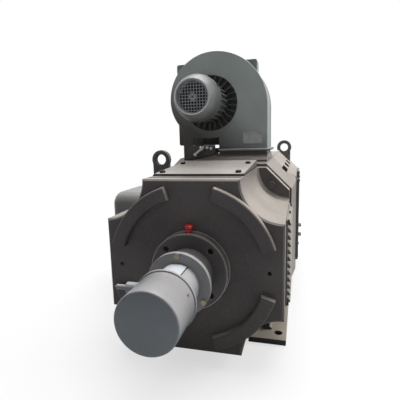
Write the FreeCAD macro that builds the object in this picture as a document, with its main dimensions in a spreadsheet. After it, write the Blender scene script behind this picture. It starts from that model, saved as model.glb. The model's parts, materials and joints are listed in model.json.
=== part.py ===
import FreeCAD, Part
import math
import os
from types import SimpleNamespace

import Sketcher

# Foot-mounted direct-current motor with tachogenerator and a separately driven blower on top.
# Millimetres. X is to the right seen from the commutator end, Y runs along the shaft towards the
# drive end, Z is up. The origin is the centre of the four foot holes, on the plane the feet stand on.

SIZES = {
    # feet and overall places
    "axis_height": 200.0,
    "foot_pitch_x": 318.0,
    "foot_pitch_y": 566.0,
    "foot_hole": 18.5,
    "foot_thickness": 12.0,
    "foot_inner": 96.0,
    "foot_outer": 177.0,
    "foot_overhang": 30.0,
    "foot_web": 12.0,
    "foot_web_outer": 139.0,
    "foot_web_setback": 40.0,
    "bell_setback": 413.0,
    # commutator-end bell
    "bell_half_width": 176.0,
    "bell_half_height": 174.0,
    "bell_depth": 256.0,
    "bell_wall": 22.0,
    "bell_edge": 3.5,
    "scallop_radius": 80.5,
    "flange_thickness": 33.0,
    "flange_chamfer": 56.0,
    "cavity_radius": 152.0,
    "hub_radius": 74.0,
    "hub_depth": 46.0,
    "rib_inner": 140.0,
    "rib_outer": 168.0,
    "rib_height": 14.0,
    "rib_start": 17.0,
    "rib_edge": 5.0,
    "window_start": 84.0,
    "window_length": 150.0,
    "window_half": 70.0,
    "face_hole_x": 149.0,
    "face_hole": 8.0,
    "face_hole_depth": 16.0,
    "lug_bolt_place": 133.0,
    "lug_bolt": 10.0,
    "lug_bolt_head": 16.0,
    "lug_bolt_head_height": 8.0,
    "lug_bolt_grip": 22.0,
    "bolt_clearance": 0.4,
    # covers on the bell
    "cover_start": 58.0,
    "top_cover_gap": 2.0,
    "top_cover_half": 94.0,
    "top_cover_thickness": 4.5,
    "top_cover_rise": 12.5,
    "top_cover_sheet": 3.0,
    "cover_corner": 12.0,
    "side_cover_length": 190.0,
    "side_cover_half": 90.0,
    "side_cover_sheet": 3.0,
    "louvre_count": 12,
    "louvre_pitch": 14.6,
    "louvre_height": 10.0,
    "louvre_depth": 6.5,
    "louvre_inset": 14.0,
    # bearing cover and its fittings
    "cover_radius": 75.0,
    "cover_depth": 20.7,
    "cover_bevel": 3.5,
    "cover_spigot": 6.0,
    "cover_bolt_circle": 61.0,
    "cover_bolt": 6.0,
    "cover_bolt_head": 10.0,
    "cover_bolt_head_height": 6.0,
    "cover_counterbore": 12.0,
    "cover_counterbore_depth": 8.0,
    "nipple_place": 0.45,
    "nipple_radius": 3.0,
    "nipple_length": 12.0,
    "nipple_seat": 6.0,
    "nipple_seat_depth": 4.0,
    "cap_neck": 5.2,
    "cap_head": 8.2,
    "cap_height": 15.0,
    # tachogenerator
    "adapter_radius": 47.0,
    "adapter_bore": 37.0,
    "adapter_length": 52.0,
    "tacho_flange_radius": 57.5,
    "tacho_flange": 10.0,
    "tacho_neck_radius": 38.5,
    "tacho_neck_length": 48.0,
    "tacho_lip_radius": 49.5,
    "tacho_lip": 7.0,
    "tacho_bore": 33.0,
    "tacho_screw_circle": 52.5,
    "tacho_screw": 5.0,
    "tacho_screw_head": 9.5,
    "tacho_screw_head_height": 4.0,
    "tacho_cap_radius": 47.5,
    "tacho_cap_length": 84.5,
    "tacho_cap_wall": 3.0,
    "tacho_cap_edge": 4.0,
    "tacho_rotor_radius": 28.0,
    "tacho_rotor_length": 38.0,
    "tacho_shaft_radius": 7.0,
    "tacho_hub_radius": 21.0,
    "tacho_hub_length": 26.0,
    "connector_radius": 9.0,
    "connector_length": 24.0,
    "connector_rise": 20.0,
    "connector_pin": 3.0,
    # yoke and field
    "yoke_front_half": 181.0,
    "yoke_half_width": 193.0,
    "yoke_front_top": 181.0,
    "yoke_top": 194.0,
    "yoke_length": 451.0,
    "yoke_taper": 62.0,
    "yoke_front_chamfer": 63.0,
    "yoke_chamfer": 62.0,
    "yoke_low_chamfer": 75.0,
    "yoke_bore": 160.0,
    "seat_start": 38.0,
    "seat_length": 146.0,
    "seat_half": 112.0,
    "hump_start": 20.0,
    "hump_length": 170.0,
    "hump_foot": 190.0,
    "hump_top": 206.0,
    "hump_left": 84.0,
    "hump_left_slope": 70.0,
    "hump_right": 118.0,
    "hump_slope": 20.0,
    "air_slot_start": 62.0,
    "air_slot_width": 42.0,
    "air_slot_length": 90.0,
    "vent_count": 3,
    "vent_start": 50.0,
    "vent_pitch": 122.0,
    "vent_length": 66.0,
    "vent_width": 17.0,
    "vent_depth": 24.0,
    "core_start": 71.0,
    "core_length": 260.0,
    "core_radius": 110.0,
    "air_gap": 2.0,
    "pole_half": 34.0,
    "pole_shoe": 12.0,
    "pole_shoe_angle": 30.0,
    "coil_wall": 22.0,
    "coil_start": 127.0,
    "coil_height": 20.0,
    "interpole_half": 12.0,
    "interpole_coil_wall": 11.0,
    "interpole_coil_start": 121.0,
    "interpole_coil_height": 32.0,
    "fit_gap": 0.05,
    "running_gap": 0.3,
    # rotor
    "shaft_nose_radius": 14.0,
    "shaft_nose_length": 60.0,
    "nde_seat_radius": 25.0,
    "nde_bearing_radius": 55.0,
    "nde_bearing_width": 27.0,
    "nde_ball": 9.4,
    "nde_ball_count": 9,
    "de_seat_radius": 35.0,
    "de_bearing_radius": 75.0,
    "de_bearing_width": 35.0,
    "de_ball": 12.6,
    "de_ball_count": 9,
    "ring_part": 0.32,
    "shaft_shoulder": 4.0,
    "shaft_core_radius": 42.0,
    "shaft_end_radius": 32.5,
    "shaft_end_length": 140.0,
    "shaft_end_setback": 133.0,
    "key_width": 18.0,
    "key_length": 125.0,
    "key_depth": 7.0,
    "key_inset": 7.0,
    "slot_count": 36,
    "slot_width": 8.0,
    "slot_depth": 24.0,
    "bar_gap": 0.4,
    "overhang_front": 96.0,
    "overhang_rear": 56.0,
    "overhang_inner": 76.0,
    "commutator_radius": 85.0,
    "commutator_start": 86.0,
    "commutator_length": 112.0,
    "riser_radius": 97.0,
    "riser_length": 14.0,
    "segment_count": 36,
    "segment_gap": 1.2,
    "segment_gap_depth": 4.0,
    # brush gear
    "rocker_inner": 86.0,
    "rocker_outer": 138.0,
    "rocker_thickness": 12.0,
    "brush_start": 100.0,
    "brush_width": 20.0,
    "brush_axial": 60.0,
    "brush_height": 36.0,
    "holder_lift": 8.0,
    "holder_height": 20.0,
    "holder_wall": 6.0,
    "brush_gap": 0.2,
    # drive-end shield
    "shield_plate": 24.0,
    "shield_hub_radius": 96.0,
    "shield_hub_length": 34.0,
    "shield_hub_taper": 10.0,
    "shield_lip": 6.0,
    "outlet_inner": 116.0,
    "outlet_outer": 150.0,
    "outlet_count": 12,
    "outlet_angle": 9.0,
    "end_cover_thickness": 12.0,
    # lifting eyes
    "eye_radius": 25.0,
    "eye_hole": 13.5,
    "eye_thickness": 16.0,
    "front_eye_x": 158.0,
    "front_eye_rise": 196.0,
    "rear_eye_x": 145.0,
    "rear_eye_rise": 210.0,
    "rear_eye_inset": 40.0,
    # terminal box
    "box_start": 8.0,
    "box_length": 200.0,
    "box_depth": 104.0,
    "box_top": 99.0,
    "box_bottom": 78.0,
    "box_wall": 6.0,
    "box_round": 38.0,
    "lid_depth": 34.0,
    "lid_round": 22.0,
    "board_thickness": 14.0,
    "board_margin": 26.0,
    "stud_radius": 5.0,
    "stud_length": 26.0,
    "stud_count": 4,
    "gland_radius": 19.0,
    "gland_bore": 12.0,
    "gland_length": 34.0,
    "gland_collar": 24.0,
    "gland_collar_length": 8.0,
    "gland_inset": 70.0,
    # side cover of the yoke
    "yoke_cover_start": 62.0,
    "yoke_cover_length": 350.0,
    "yoke_cover_half": 107.0,
    "yoke_cover_rise": 25.0,
    "yoke_cover_thickness": 6.5,
    "tab_rise": 21.0,
    "tab_length": 30.0,
    # blower
    "fan_x": -34.0,
    "fan_rise": 341.0,
    "blower_setback": 41.0,
    "blower_width": 120.0,
    "blower_sheet": 3.0,
    "scroll_left": 111.5,
    "scroll_growth": 19.0,
    "inlet_radius": 72.0,
    "back_inlet_radius": 64.0,
    "outlet_left": 21.5,
    "blower_foot": 122.0,
    "leg_left": 79.0,
    "leg_width": 27.0,
    "notch_height": 32.0,
    "base_flange": 6.0,
    "base_lip": 9.0,
    "base_plate": 6.0,
    "bracket_left": 67.0,
    "bracket_right": 11.0,
    "bracket_height": 36.0,
    "base_wall": 4.0,
    "impeller_radius": 84.0,
    "impeller_bore": 66.0,
    "impeller_width": 84.0,
    "impeller_plate": 4.0,
    "blade_count": 32,
    "blade_sheet": 2.0,
    "blade_curve": 16.0,
    "impeller_hub": 18.0,
    "filter_half_width": 120.5,
    "filter_shift": 10.0,
    "filter_rise": 7.5,
    "filter_half_height": 120.5,
    "filter_depth": 42.0,
    "filter_wall": 2.5,
    "filter_edge": 6.0,
    "filter_slats": 9,
    "filter_slat": 9.0,
    "filter_frame": 22.0,
    # fan motor
    "fan_flange_plate": 4.0,
    "fan_flange_hub": 46.0,
    "fan_rib_count": 26,
    "fan_rib": 3.2,
    "fan_rib_height": 16.0,
    "fan_body_radius": 44.0,
    "fan_body_length": 134.0,
    "fan_body_bore": 12.0,
    "fan_fin_count": 24,
    "fan_fin": 3.0,
    "fan_fin_height": 7.0,
    "cowl_radius": 54.5,
    "cowl_front_radius": 39.5,
    "cowl_length": 60.0,
    "cowl_cone": 42.0,
    "cowl_recess": 4.0,
    "cowl_sheet": 1.8,
    "cowl_bow": 110.0,
    "grille_radius": 34.0,
    "grille_pitch": 6.7,
    "grille_hole": 5.1,
    "grille_hub": 8.5,
    "fan_shaft_radius": 8.0,
    "cooling_fan_radius": 34.0,
    "cooling_fan_blades": 7,
    "cooling_fan_depth": 16.0,
}

doc = FreeCAD.newDocument("dc_motor")
sheet = doc.addObject("Spreadsheet::Sheet", "Sizes")
for row, (alias, value) in enumerate(SIZES.items(), start=1):
    sheet.set(f"A{row}", alias)
    sheet.set(f"B{row}", str(value))
    sheet.setAlias(f"B{row}", alias)
doc.recompute()


class Size:
    """A length or angle together with the sheet formula that gives it."""

    def __init__(self, value, text):
        self.value = value
        self.text = text

    def __add__(self, other):
        return Size(self.value + number(other), f"({self.text} + {formula(other)})")

    def __radd__(self, other):
        return Size(number(other) + self.value, f"({formula(other)} + {self.text})")

    def __sub__(self, other):
        return Size(self.value - number(other), f"({self.text} - {formula(other)})")

    def __rsub__(self, other):
        return Size(number(other) - self.value, f"({formula(other)} - {self.text})")

    def __mul__(self, other):
        return Size(self.value * number(other), f"({self.text} * {formula(other)})")

    __rmul__ = __mul__

    def __truediv__(self, other):
        return Size(self.value / number(other), f"({self.text} / {formula(other)})")

    def __neg__(self):
        return Size(-self.value, f"(0 - {self.text})")


def number(size):
    return size.value if isinstance(size, Size) else size


def formula(size):
    return size.text if isinstance(size, Size) else str(size)


def cosine(angle):
    return Size(math.cos(math.radians(number(angle))), f"cos({formula(angle)})")


def sine(angle):
    return Size(math.sin(math.radians(number(angle))), f"sin({formula(angle)})")


def root(size):
    return Size(math.sqrt(number(size)), f"sqrt({formula(size)})")


s = SimpleNamespace(**{alias: Size(value, f"Sizes.{alias}") for alias, value in SIZES.items()})
pieces = []


# Drawing and feature helpers

def bind(item, path, size):
    item.setExpression(path, formula(size))


def place(item, x, y, z, turn_about_y=0):
    item.Placement.Rotation = FreeCAD.Rotation(FreeCAD.Vector(0, 1, 0), turn_about_y)
    for axis_name, size in zip("xyz", (x, y, z)):
        bind(item, f"Placement.Base.{axis_name}", size)


def new_body(label, x, y, z, turn_about_y=0):
    body = doc.addObject("PartDesign::Body", label)
    body.Label = label
    body.AllowCompound = True
    place(body, x, y, z, turn_about_y)
    pieces.append(body)
    return body


def origin_part(body, role):
    return next(item for item in body.Origin.OriginFeatures if item.Role == role)


def fix_point(sketch, curve, end, u, v):
    for kind, size in (("DistanceX", u), ("DistanceY", v)):
        index = sketch.addConstraint(Sketcher.Constraint(kind, -1, 1, curve, end, number(size)))
        if isinstance(size, Size):
            sketch.setExpression(f"Constraints[{index}]", size.text)


def fix_radius(sketch, curve, radius):
    index = sketch.addConstraint(Sketcher.Constraint("Radius", curve, number(radius)))
    if isinstance(radius, Size):
        sketch.setExpression(f"Constraints[{index}]", radius.text)


def arc_between(start, end, radius, side):
    """The shorter arc from start to end whose centre lies to the left or right of that direction."""
    chord = end - start
    half = chord.Length / 2
    lift = math.sqrt(max(radius * radius - half * half, 0))
    left = FreeCAD.Vector(-chord.y, chord.x, 0).normalize()
    centre = (start + end) / 2 + left * (lift if side == "left" else -lift)
    first, last = (start, end) if side == "left" else (end, start)
    angles = [math.atan2(point.y - centre.y, point.x - centre.x) for point in (first, last)]
    return Part.ArcOfCircle(Part.Circle(centre, FreeCAD.Vector(0, 0, 1), radius), *angles)


def add_outline(sketch, outline):
    """A closed outline of (u, v) corners; (u, v, radius, side) starts an arc to the next corner."""
    points = [FreeCAD.Vector(number(corner[0]), number(corner[1]), 0) for corner in outline]
    ends = []
    for index, corner in enumerate(outline):
        start, end = points[index], points[(index + 1) % len(points)]
        if len(corner) == 2:
            curve = sketch.addGeometry(Part.LineSegment(start, end))
            ends.append((curve, 1, 2))
        else:
            radius, side = corner[2:]
            curve = sketch.addGeometry(arc_between(start, end, number(radius), side))
            ends.append((curve, 1, 2) if side == "left" else (curve, 2, 1))
    for index, (curve, first, last) in enumerate(ends):
        following = ends[(index + 1) % len(ends)]
        sketch.addConstraint(Sketcher.Constraint("Coincident", curve, last, following[0], following[1]))
        fix_point(sketch, curve, first, *outline[index][:2])
        if len(outline[index]) > 2:
            fix_radius(sketch, curve, outline[index][2])


def add_circle(sketch, u, v, radius):
    centre = FreeCAD.Vector(number(u), number(v), 0)
    curve = sketch.addGeometry(Part.Circle(centre, FreeCAD.Vector(0, 0, 1), number(radius)))
    fix_point(sketch, curve, 3, u, v)
    fix_radius(sketch, curve, radius)


def draw(body, plane, shapes, at=0):
    """A sketch on one of the body's own planes, moved to the place `at` along that plane's world axis."""
    sketch = body.newObject("Sketcher::SketchObject", f"{body.Label}_sketch")
    sketch.AttachmentSupport = [(origin_part(body, plane), "")]
    sketch.MapMode = "FlatFace"
    bind(sketch, "AttachmentOffset.Base.z", -1 * at if plane == "XZ_Plane" else at)
    for shape in shapes:
        if isinstance(shape, tuple):
            add_circle(sketch, *shape)
        else:
            add_outline(sketch, shape)
    return sketch


def pad(body, sketch, length, back=False):
    feature = body.newObject("PartDesign::Pad", f"{body.Label}_pad")
    feature.Profile = sketch
    feature.Reversed = back
    bind(feature, "Length", length)
    return feature


def pocket(body, sketch, depth, back=False):
    doc.recompute()
    before = body.Tip.Shape.Volume
    feature = body.newObject("PartDesign::Pocket", f"{body.Label}_pocket")
    feature.Profile = sketch
    feature.Reversed = back
    bind(feature, "Length", depth)
    doc.recompute()
    if feature.Shape.Volume >= before:
        raise ValueError(f"a pocket of {body.Label} removes nothing")
    return feature


def revolve(body, sketch, axis_name="H_Axis"):
    feature = body.newObject("PartDesign::Revolution", f"{body.Label}_turn")
    feature.Profile = sketch
    feature.ReferenceAxis = (sketch, [axis_name])
    feature.Angle = 360
    return feature


def polar(body, features, count, angle=360, back=False):
    feature = body.newObject("PartDesign::PolarPattern", f"{body.Label}_polar")
    feature.Originals = features
    feature.Axis = (origin_part(body, "Y_Axis"), [""])
    feature.Angle = angle
    feature.Reversed = back
    bind(feature, "Occurrences", count)
    body.Tip = feature
    return feature


def linear(body, features, role, length, count, back=False):
    feature = body.newObject("PartDesign::LinearPattern", f"{body.Label}_row")
    feature.Originals = features
    feature.Direction = (origin_part(body, role), [""])
    feature.Reversed = back
    bind(feature, "Length", length)
    bind(feature, "Occurrences", count)
    body.Tip = feature
    return feature


def soften(body, kind, size_name, size, wanted):
    """A fillet or chamfer on the wanted edges of the body so far."""
    doc.recompute()
    base = body.Tip
    names = [f"Edge{index}" for index, edge in enumerate(base.Shape.Edges, start=1) if wanted(edge)]
    feature = body.newObject(f"PartDesign::{kind}", f"{body.Label}_{kind.lower()}")
    feature.Base = (base, names)
    bind(feature, size_name, size)
    return feature


def fillet(body, radius, wanted):
    return soften(body, "Fillet", "Radius", radius, wanted)


def chamfer(body, size, wanted):
    return soften(body, "Chamfer", "Size", size, wanted)


def lies_at(edge, axis_name, size):
    low = getattr(edge.BoundBox, axis_name.upper() + "Min")
    high = getattr(edge.BoundBox, axis_name.upper() + "Max")
    return abs(low - number(size)) < 0.01 and abs(high - number(size)) < 0.01


def turned(label, profile, x, y, z):
    """A piece turned about Y, from a profile of (place along the axis, radius)."""
    body = new_body(label, x, y, z)
    revolve(body, draw(body, "YZ_Plane", [profile]))
    return body


def rectangle(left, right, low, high):
    return [(left, low), (right, low), (right, high), (left, high)]


def rounded(left, right, low, high, radius):
    return [(left + radius, low), (right - radius, low, radius, "left"),
            (right, low + radius), (right, high - radius, radius, "left"),
            (right - radius, high), (left + radius, high, radius, "left"),
            (left, high - radius), (left, low + radius, radius, "left")]


def octagon(half_width, top, bottom, top_cut, bottom_cut):
    return [(half_width, bottom_cut - bottom), (half_width, top - top_cut),
            (half_width - top_cut, top), (top_cut - half_width, top),
            (-half_width, top - top_cut), (-half_width, bottom_cut - bottom),
            (bottom_cut - half_width, -bottom), (half_width - bottom_cut, -bottom)]


def sector(inner, outer, first, last):
    """A ring sector between two angles measured from X towards Z."""
    return [(inner * cosine(first), inner * sine(first)),
            (outer * cosine(first), outer * sine(first), outer, "left"),
            (outer * cosine(last), outer * sine(last)),
            (inner * cosine(last), inner * sine(last), inner, "right")]


# Places along the shaft that several pieces share
axis = s.axis_height
bell_y = -s.bell_setback
flange_y = bell_y + s.bell_depth
yoke_y = flange_y + s.flange_thickness
yoke_end = yoke_y + s.yoke_length
yoke_bottom = s.axis_height - s.foot_thickness
hub_end = yoke_end + s.shield_plate + s.shield_hub_length
shoulder_y = s.foot_pitch_y / 2 + s.shaft_end_setback
nde_bearing_y = bell_y + s.cover_spigot
de_bearing_y = hub_end - s.cover_spigot - s.de_bearing_width
core_y = yoke_y + s.core_start
core_end = core_y + s.core_length
commutator_y = bell_y + s.commutator_start
fan_z = axis + s.fan_rise
blower_y = yoke_y + s.blower_setback
blower_end = blower_y + s.blower_width
base_z = axis + s.yoke_top
tacho_y = bell_y - s.cover_depth - s.adapter_length
tacho_lip_y = tacho_y - s.tacho_flange - s.tacho_neck_length - s.tacho_lip
bolt_hole = s.lug_bolt / 2 + s.bolt_clearance


# Commutator-end bell and its covers

def nde_bell():
    body = new_body("nde_bell", 0, bell_y, axis)
    w, h, r = s.bell_half_width, s.bell_half_height, s.scallop_radius
    section = [(w, r - h), (w, h - r, r, "right"), (w - r, h), (r - w, h, r, "right"),
               (-w, h - r), (-w, r - h, r, "right"), (r - w, -h), (w - r, -h, r, "right")]
    pad(body, draw(body, "XZ_Plane", [section]), s.bell_depth, back=True)
    chamfer(body, s.bell_edge, lambda edge: lies_at(edge, "y", 0))
    lugs = octagon(w, h, h, s.flange_chamfer, s.flange_chamfer)
    pad(body, draw(body, "XZ_Plane", [lugs], s.bell_depth), s.flange_thickness, back=True)
    inside = s.bell_depth + s.flange_thickness - s.bell_wall
    pocket(body, draw(body, "XZ_Plane", [(0, 0, s.cavity_radius)], s.bell_wall), inside)
    pad(body, draw(body, "XZ_Plane", [(0, 0, s.hub_radius)], s.bell_wall), s.hub_depth - s.bell_wall,
        back=True)
    seat = s.nde_bearing_radius + s.fit_gap
    pocket(body, draw(body, "XZ_Plane", [(0, 0, seat)]), s.cover_spigot + s.nde_bearing_width)
    pocket(body, draw(body, "XZ_Plane", [(0, 0, seat - s.shaft_shoulder * 2)]), s.hub_depth)
    window = rectangle(s.window_start, s.window_start + s.window_length, -s.window_half, s.window_half)
    opening = pocket(body, draw(body, "YZ_Plane", [window], w + s.bell_edge), w - s.cavity_radius / 2)
    polar(body, [opening], 3, angle=180, back=True)
    holes = [(s.face_hole_x, 0, s.face_hole / 2), (-s.face_hole_x, 0, s.face_hole / 2)]
    pocket(body, draw(body, "XZ_Plane", holes), s.face_hole_depth)
    offset = s.lug_bolt_place
    hole = pocket(body, draw(body, "XZ_Plane", [(offset, offset, bolt_hole)], s.bell_depth),
                  s.flange_thickness)
    polar(body, [hole], 4)
    low, high, top, edge = s.rib_inner, s.rib_outer, -s.rib_height, s.rib_edge
    section = [(0, low), (0, high), (top + edge, high, edge, "left"), (top, high - edge),
               (top, low + edge, edge, "left"), (top + edge, low)]
    sketch = draw(body, "YZ_Plane", [section])
    sketch.AttachmentOffset.Rotation = FreeCAD.Rotation(FreeCAD.Vector(1, 0, 0), 45)
    rib = revolve(body, sketch)
    rib.Midplane = True
    bind(rib, "Angle", 90 - s.rib_start * 2)
    polar(body, [rib], 4)


def lug_bolts():
    body = new_body("lug_bolts", 0, flange_y, axis)
    offset = s.lug_bolt_place
    across = s.lug_bolt_head / 2
    corner = across / cosine(30)
    hexagon = [(offset + corner * cosine(60 * n), offset + corner * sine(60 * n)) for n in range(6)]
    head = pad(body, draw(body, "XZ_Plane", [hexagon]), s.lug_bolt_head_height)
    shank = pad(body, draw(body, "XZ_Plane", [(offset, offset, s.lug_bolt / 2)]),
                s.flange_thickness + s.lug_bolt_grip, back=True)
    polar(body, [head, shank], 4)


def top_cover():
    body = new_body("top_cover", 0, bell_y + s.cover_start, axis + s.bell_half_height)
    half, front = s.top_cover_half, s.top_cover_thickness
    length = s.bell_depth + s.flange_thickness - s.cover_start - s.top_cover_gap
    rear, sheet = front + s.top_cover_rise, s.top_cover_sheet
    wedge = [(0 * length, 0 * length), (length, 0 * length), (length, rear), (0 * length, front)]
    pad(body, draw(body, "YZ_Plane", [wedge], -half), half * 2)
    fillet(body, s.cover_corner,
           lambda edge: lies_at(edge, "y", 0) and (lies_at(edge, "x", half) or lies_at(edge, "x", -half)))
    start = length / 4
    hollow = [(start, 0 * length), (length - sheet, 0 * length), (length - sheet, rear - sheet * 1.2),
              (start, front + s.top_cover_rise / 4 - sheet)]
    pocket(body, draw(body, "YZ_Plane", [hollow], half - sheet), (half - sheet) * 2)


def louvre_cover(label, side):
    body = new_body(label, side * s.bell_half_width, bell_y + s.cover_start, axis)
    plan = rounded(0 * s.cover_start, s.side_cover_length, -s.side_cover_half, s.side_cover_half,
                            s.cover_corner / 2)
    pad(body, draw(body, "YZ_Plane", [plan]), s.side_cover_sheet, back=side < 0)
    low = -s.louvre_pitch * (s.louvre_count - 1) / 2 - s.louvre_height / 2
    foot, tip = side * s.side_cover_sheet, side * (s.side_cover_sheet + s.louvre_depth)
    turn = "left" if side > 0 else "right"
    hood = [(foot, low), (tip, low, s.louvre_height * 1.4, turn), (foot, low + s.louvre_height)]
    louvre = pad(body, draw(body, "XZ_Plane", [hood], s.louvre_inset),
                 s.side_cover_length - s.louvre_inset * 2, back=True)
    linear(body, [louvre], "Z_Axis", s.louvre_pitch * (s.louvre_count - 1), s.louvre_count)


def nde_bearing_cover():
    front, bevel = -s.cover_depth, s.cover_bevel
    bore = s.shaft_nose_radius + s.shaft_shoulder
    spigot = s.nde_bearing_radius - s.running_gap
    profile = [(front, bore), (front, s.cover_radius - bevel), (front + bevel, s.cover_radius - bevel),
               (front + bevel * 2, s.cover_radius), (0, s.cover_radius), (0, spigot),
               (s.cover_spigot - s.running_gap, spigot), (s.cover_spigot - s.running_gap, bore * 2),
               (0, bore * 2),
               (0, bore)]
    body = turned("nde_bearing_cover", profile, 0, bell_y, axis)
    spot = s.cover_bolt_circle * cosine(45)
    head = pocket(body, draw(body, "XZ_Plane", [(spot, spot, s.cover_counterbore / 2)], front),
                  s.cover_counterbore_depth)
    hole = pocket(body, draw(body, "XZ_Plane", [(spot, spot, s.cover_bolt / 2 + s.bolt_clearance)], front),
                  s.cover_depth)
    polar(body, [head, hole], 4)
    seat = draw(body, "XY_Plane", [(0, front * s.nipple_place, s.nipple_seat)], s.cover_radius)
    pocket(body, seat, s.nipple_seat_depth)


def bearing_cover_bolts():
    body = new_body("bearing_cover_bolts", 0, bell_y - s.cover_depth + s.cover_counterbore_depth, axis)
    spot = s.cover_bolt_circle * cosine(45)
    head = pad(body, draw(body, "XZ_Plane", [(spot, spot, s.cover_bolt_head / 2)]),
               s.cover_bolt_head_height)
    shank = pad(body, draw(body, "XZ_Plane", [(spot, spot, s.cover_bolt / 2)]),
                s.cover_depth - s.cover_counterbore_depth, back=True)
    hexagon = [(spot + s.cover_bolt / 2 * cosine(60 * n),
                spot + s.cover_bolt / 2 * sine(60 * n)) for n in range(6)]
    socket = pocket(body, draw(body, "XZ_Plane", [hexagon], -s.cover_bolt_head_height),
                    s.cover_bolt_head_height / 2)
    polar(body, [head, shank, socket], 4)


def grease_fittings():
    seat_z = axis + s.cover_radius - s.nipple_seat_depth
    nipple = new_body("grease_nipple", 0, bell_y - s.cover_depth * s.nipple_place, seat_z)
    base, stem = s.nipple_seat - s.running_gap, s.nipple_radius
    collar = s.nipple_seat_depth - stem / 3
    profile = [(0, 0), (base, 0), (base, collar), (stem, collar), (stem, collar + s.nipple_length),
               (0, collar + s.nipple_length)]
    revolve(nipple, draw(nipple, "XZ_Plane", [profile]), "V_Axis")
    cap = new_body("grease_cap", 0, bell_y - s.cover_depth * s.nipple_place, seat_z + collar)
    inner = stem + s.fit_gap
    profile = [(inner, 0), (s.cap_neck, 0), (s.cap_neck, s.cap_height * 0.45),
               (s.cap_head, s.cap_height * 0.6),
               (s.cap_head, s.cap_height - s.cap_neck / 4), (s.cap_head - s.cap_neck / 4, s.cap_height),
               (0, s.cap_height), (0, s.nipple_length + s.fit_gap), (inner, s.nipple_length + s.fit_gap)]
    revolve(cap, draw(cap, "XZ_Plane", [profile]), "V_Axis")


# Tachogenerator

def tacho_pieces():
    adapter = [(tacho_y, s.adapter_bore), (tacho_y, s.adapter_radius),
               (bell_y - s.cover_depth, s.adapter_radius),
               (bell_y - s.cover_depth, s.adapter_bore)]
    turned("tacho_adapter", adapter, 0, 0, axis)

    flange_front = -s.tacho_flange
    neck_end = flange_front - s.tacho_neck_length
    lip_end = neck_end - s.tacho_lip
    bore = s.tacho_shaft_radius + s.running_gap
    housing = [(0, bore), (0, s.tacho_flange_radius), (flange_front, s.tacho_flange_radius),
               (flange_front, s.tacho_neck_radius), (neck_end, s.tacho_neck_radius),
               (neck_end, s.tacho_lip_radius),
               (lip_end, s.tacho_lip_radius), (lip_end, s.tacho_bore), (flange_front / 2, s.tacho_bore),
               (flange_front / 2, bore)]
    body = turned("tacho_body", housing, 0, tacho_y, axis)
    hole = pocket(body, draw(body, "XZ_Plane", [(0, s.tacho_screw_circle,
                                                 s.tacho_screw / 2 + s.bolt_clearance)],
                             flange_front), s.tacho_flange)
    polar(body, [hole], 3)

    screws = new_body("tacho_screws", 0, tacho_y - s.tacho_flange, axis)
    head = pad(screws, draw(screws, "XZ_Plane", [(0, s.tacho_screw_circle, s.tacho_screw_head / 2)]),
               s.tacho_screw_head_height)
    shank = pad(screws, draw(screws, "XZ_Plane", [(0, s.tacho_screw_circle, s.tacho_screw / 2)]),
                s.tacho_flange, back=True)
    polar(screws, [head, shank], 3)

    end, wall, edge = -s.tacho_cap_length, s.tacho_cap_wall, s.tacho_cap_edge
    shell = [(0, s.tacho_cap_radius - wall), (0, s.tacho_cap_radius),
             (end + edge, s.tacho_cap_radius, edge, "left"),
             (end, s.tacho_cap_radius - edge), (end, 0), (end + wall, 0),
             (end + wall, s.tacho_cap_radius - edge),
             (end + edge, s.tacho_cap_radius - wall)]
    turned("tacho_cap", shell, 0, tacho_lip_y, axis)

    connector = new_body("tacho_connector", 0, tacho_lip_y - s.connector_radius * 1.6, axis)
    start, rise, thick = -s.tacho_cap_radius, s.connector_rise, s.connector_radius
    reach = s.connector_length
    stages = [(start * 0.75, thick, reach), (start - reach / 4, thick * 0.45, reach),
              (start - reach, s.connector_pin / 2, thick)]
    for offset, radius, length in stages:
        pad(connector, draw(connector, "YZ_Plane", [(0, rise, radius)], offset), length, back=True)
    seat = draw(connector, "XZ_Plane", [(0, 0, s.tacho_cap_radius + s.running_gap)], -1.1 * thick)
    pocket(connector, seat, thick * 2.2)

    hub_end_y = bell_y - s.shaft_nose_length
    hub = s.shaft_nose_radius + s.fit_gap
    front = tacho_y - s.tacho_flange - s.tacho_rotor_length
    rotor = [(hub_end_y + s.tacho_hub_length, hub), (hub_end_y + s.tacho_hub_length, s.tacho_hub_radius),
             (hub_end_y - s.tacho_shaft_radius, s.tacho_hub_radius),
             (hub_end_y - s.tacho_shaft_radius, s.tacho_shaft_radius),
             (tacho_y - s.tacho_flange, s.tacho_shaft_radius),
             (tacho_y - s.tacho_flange, s.tacho_rotor_radius),
             (front, s.tacho_rotor_radius), (front, 0), (hub_end_y - s.fit_gap, 0),
             (hub_end_y - s.fit_gap, hub)]
    turned("tacho_rotor", rotor, 0, 0, axis)


# Yoke, field system and feet

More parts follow.
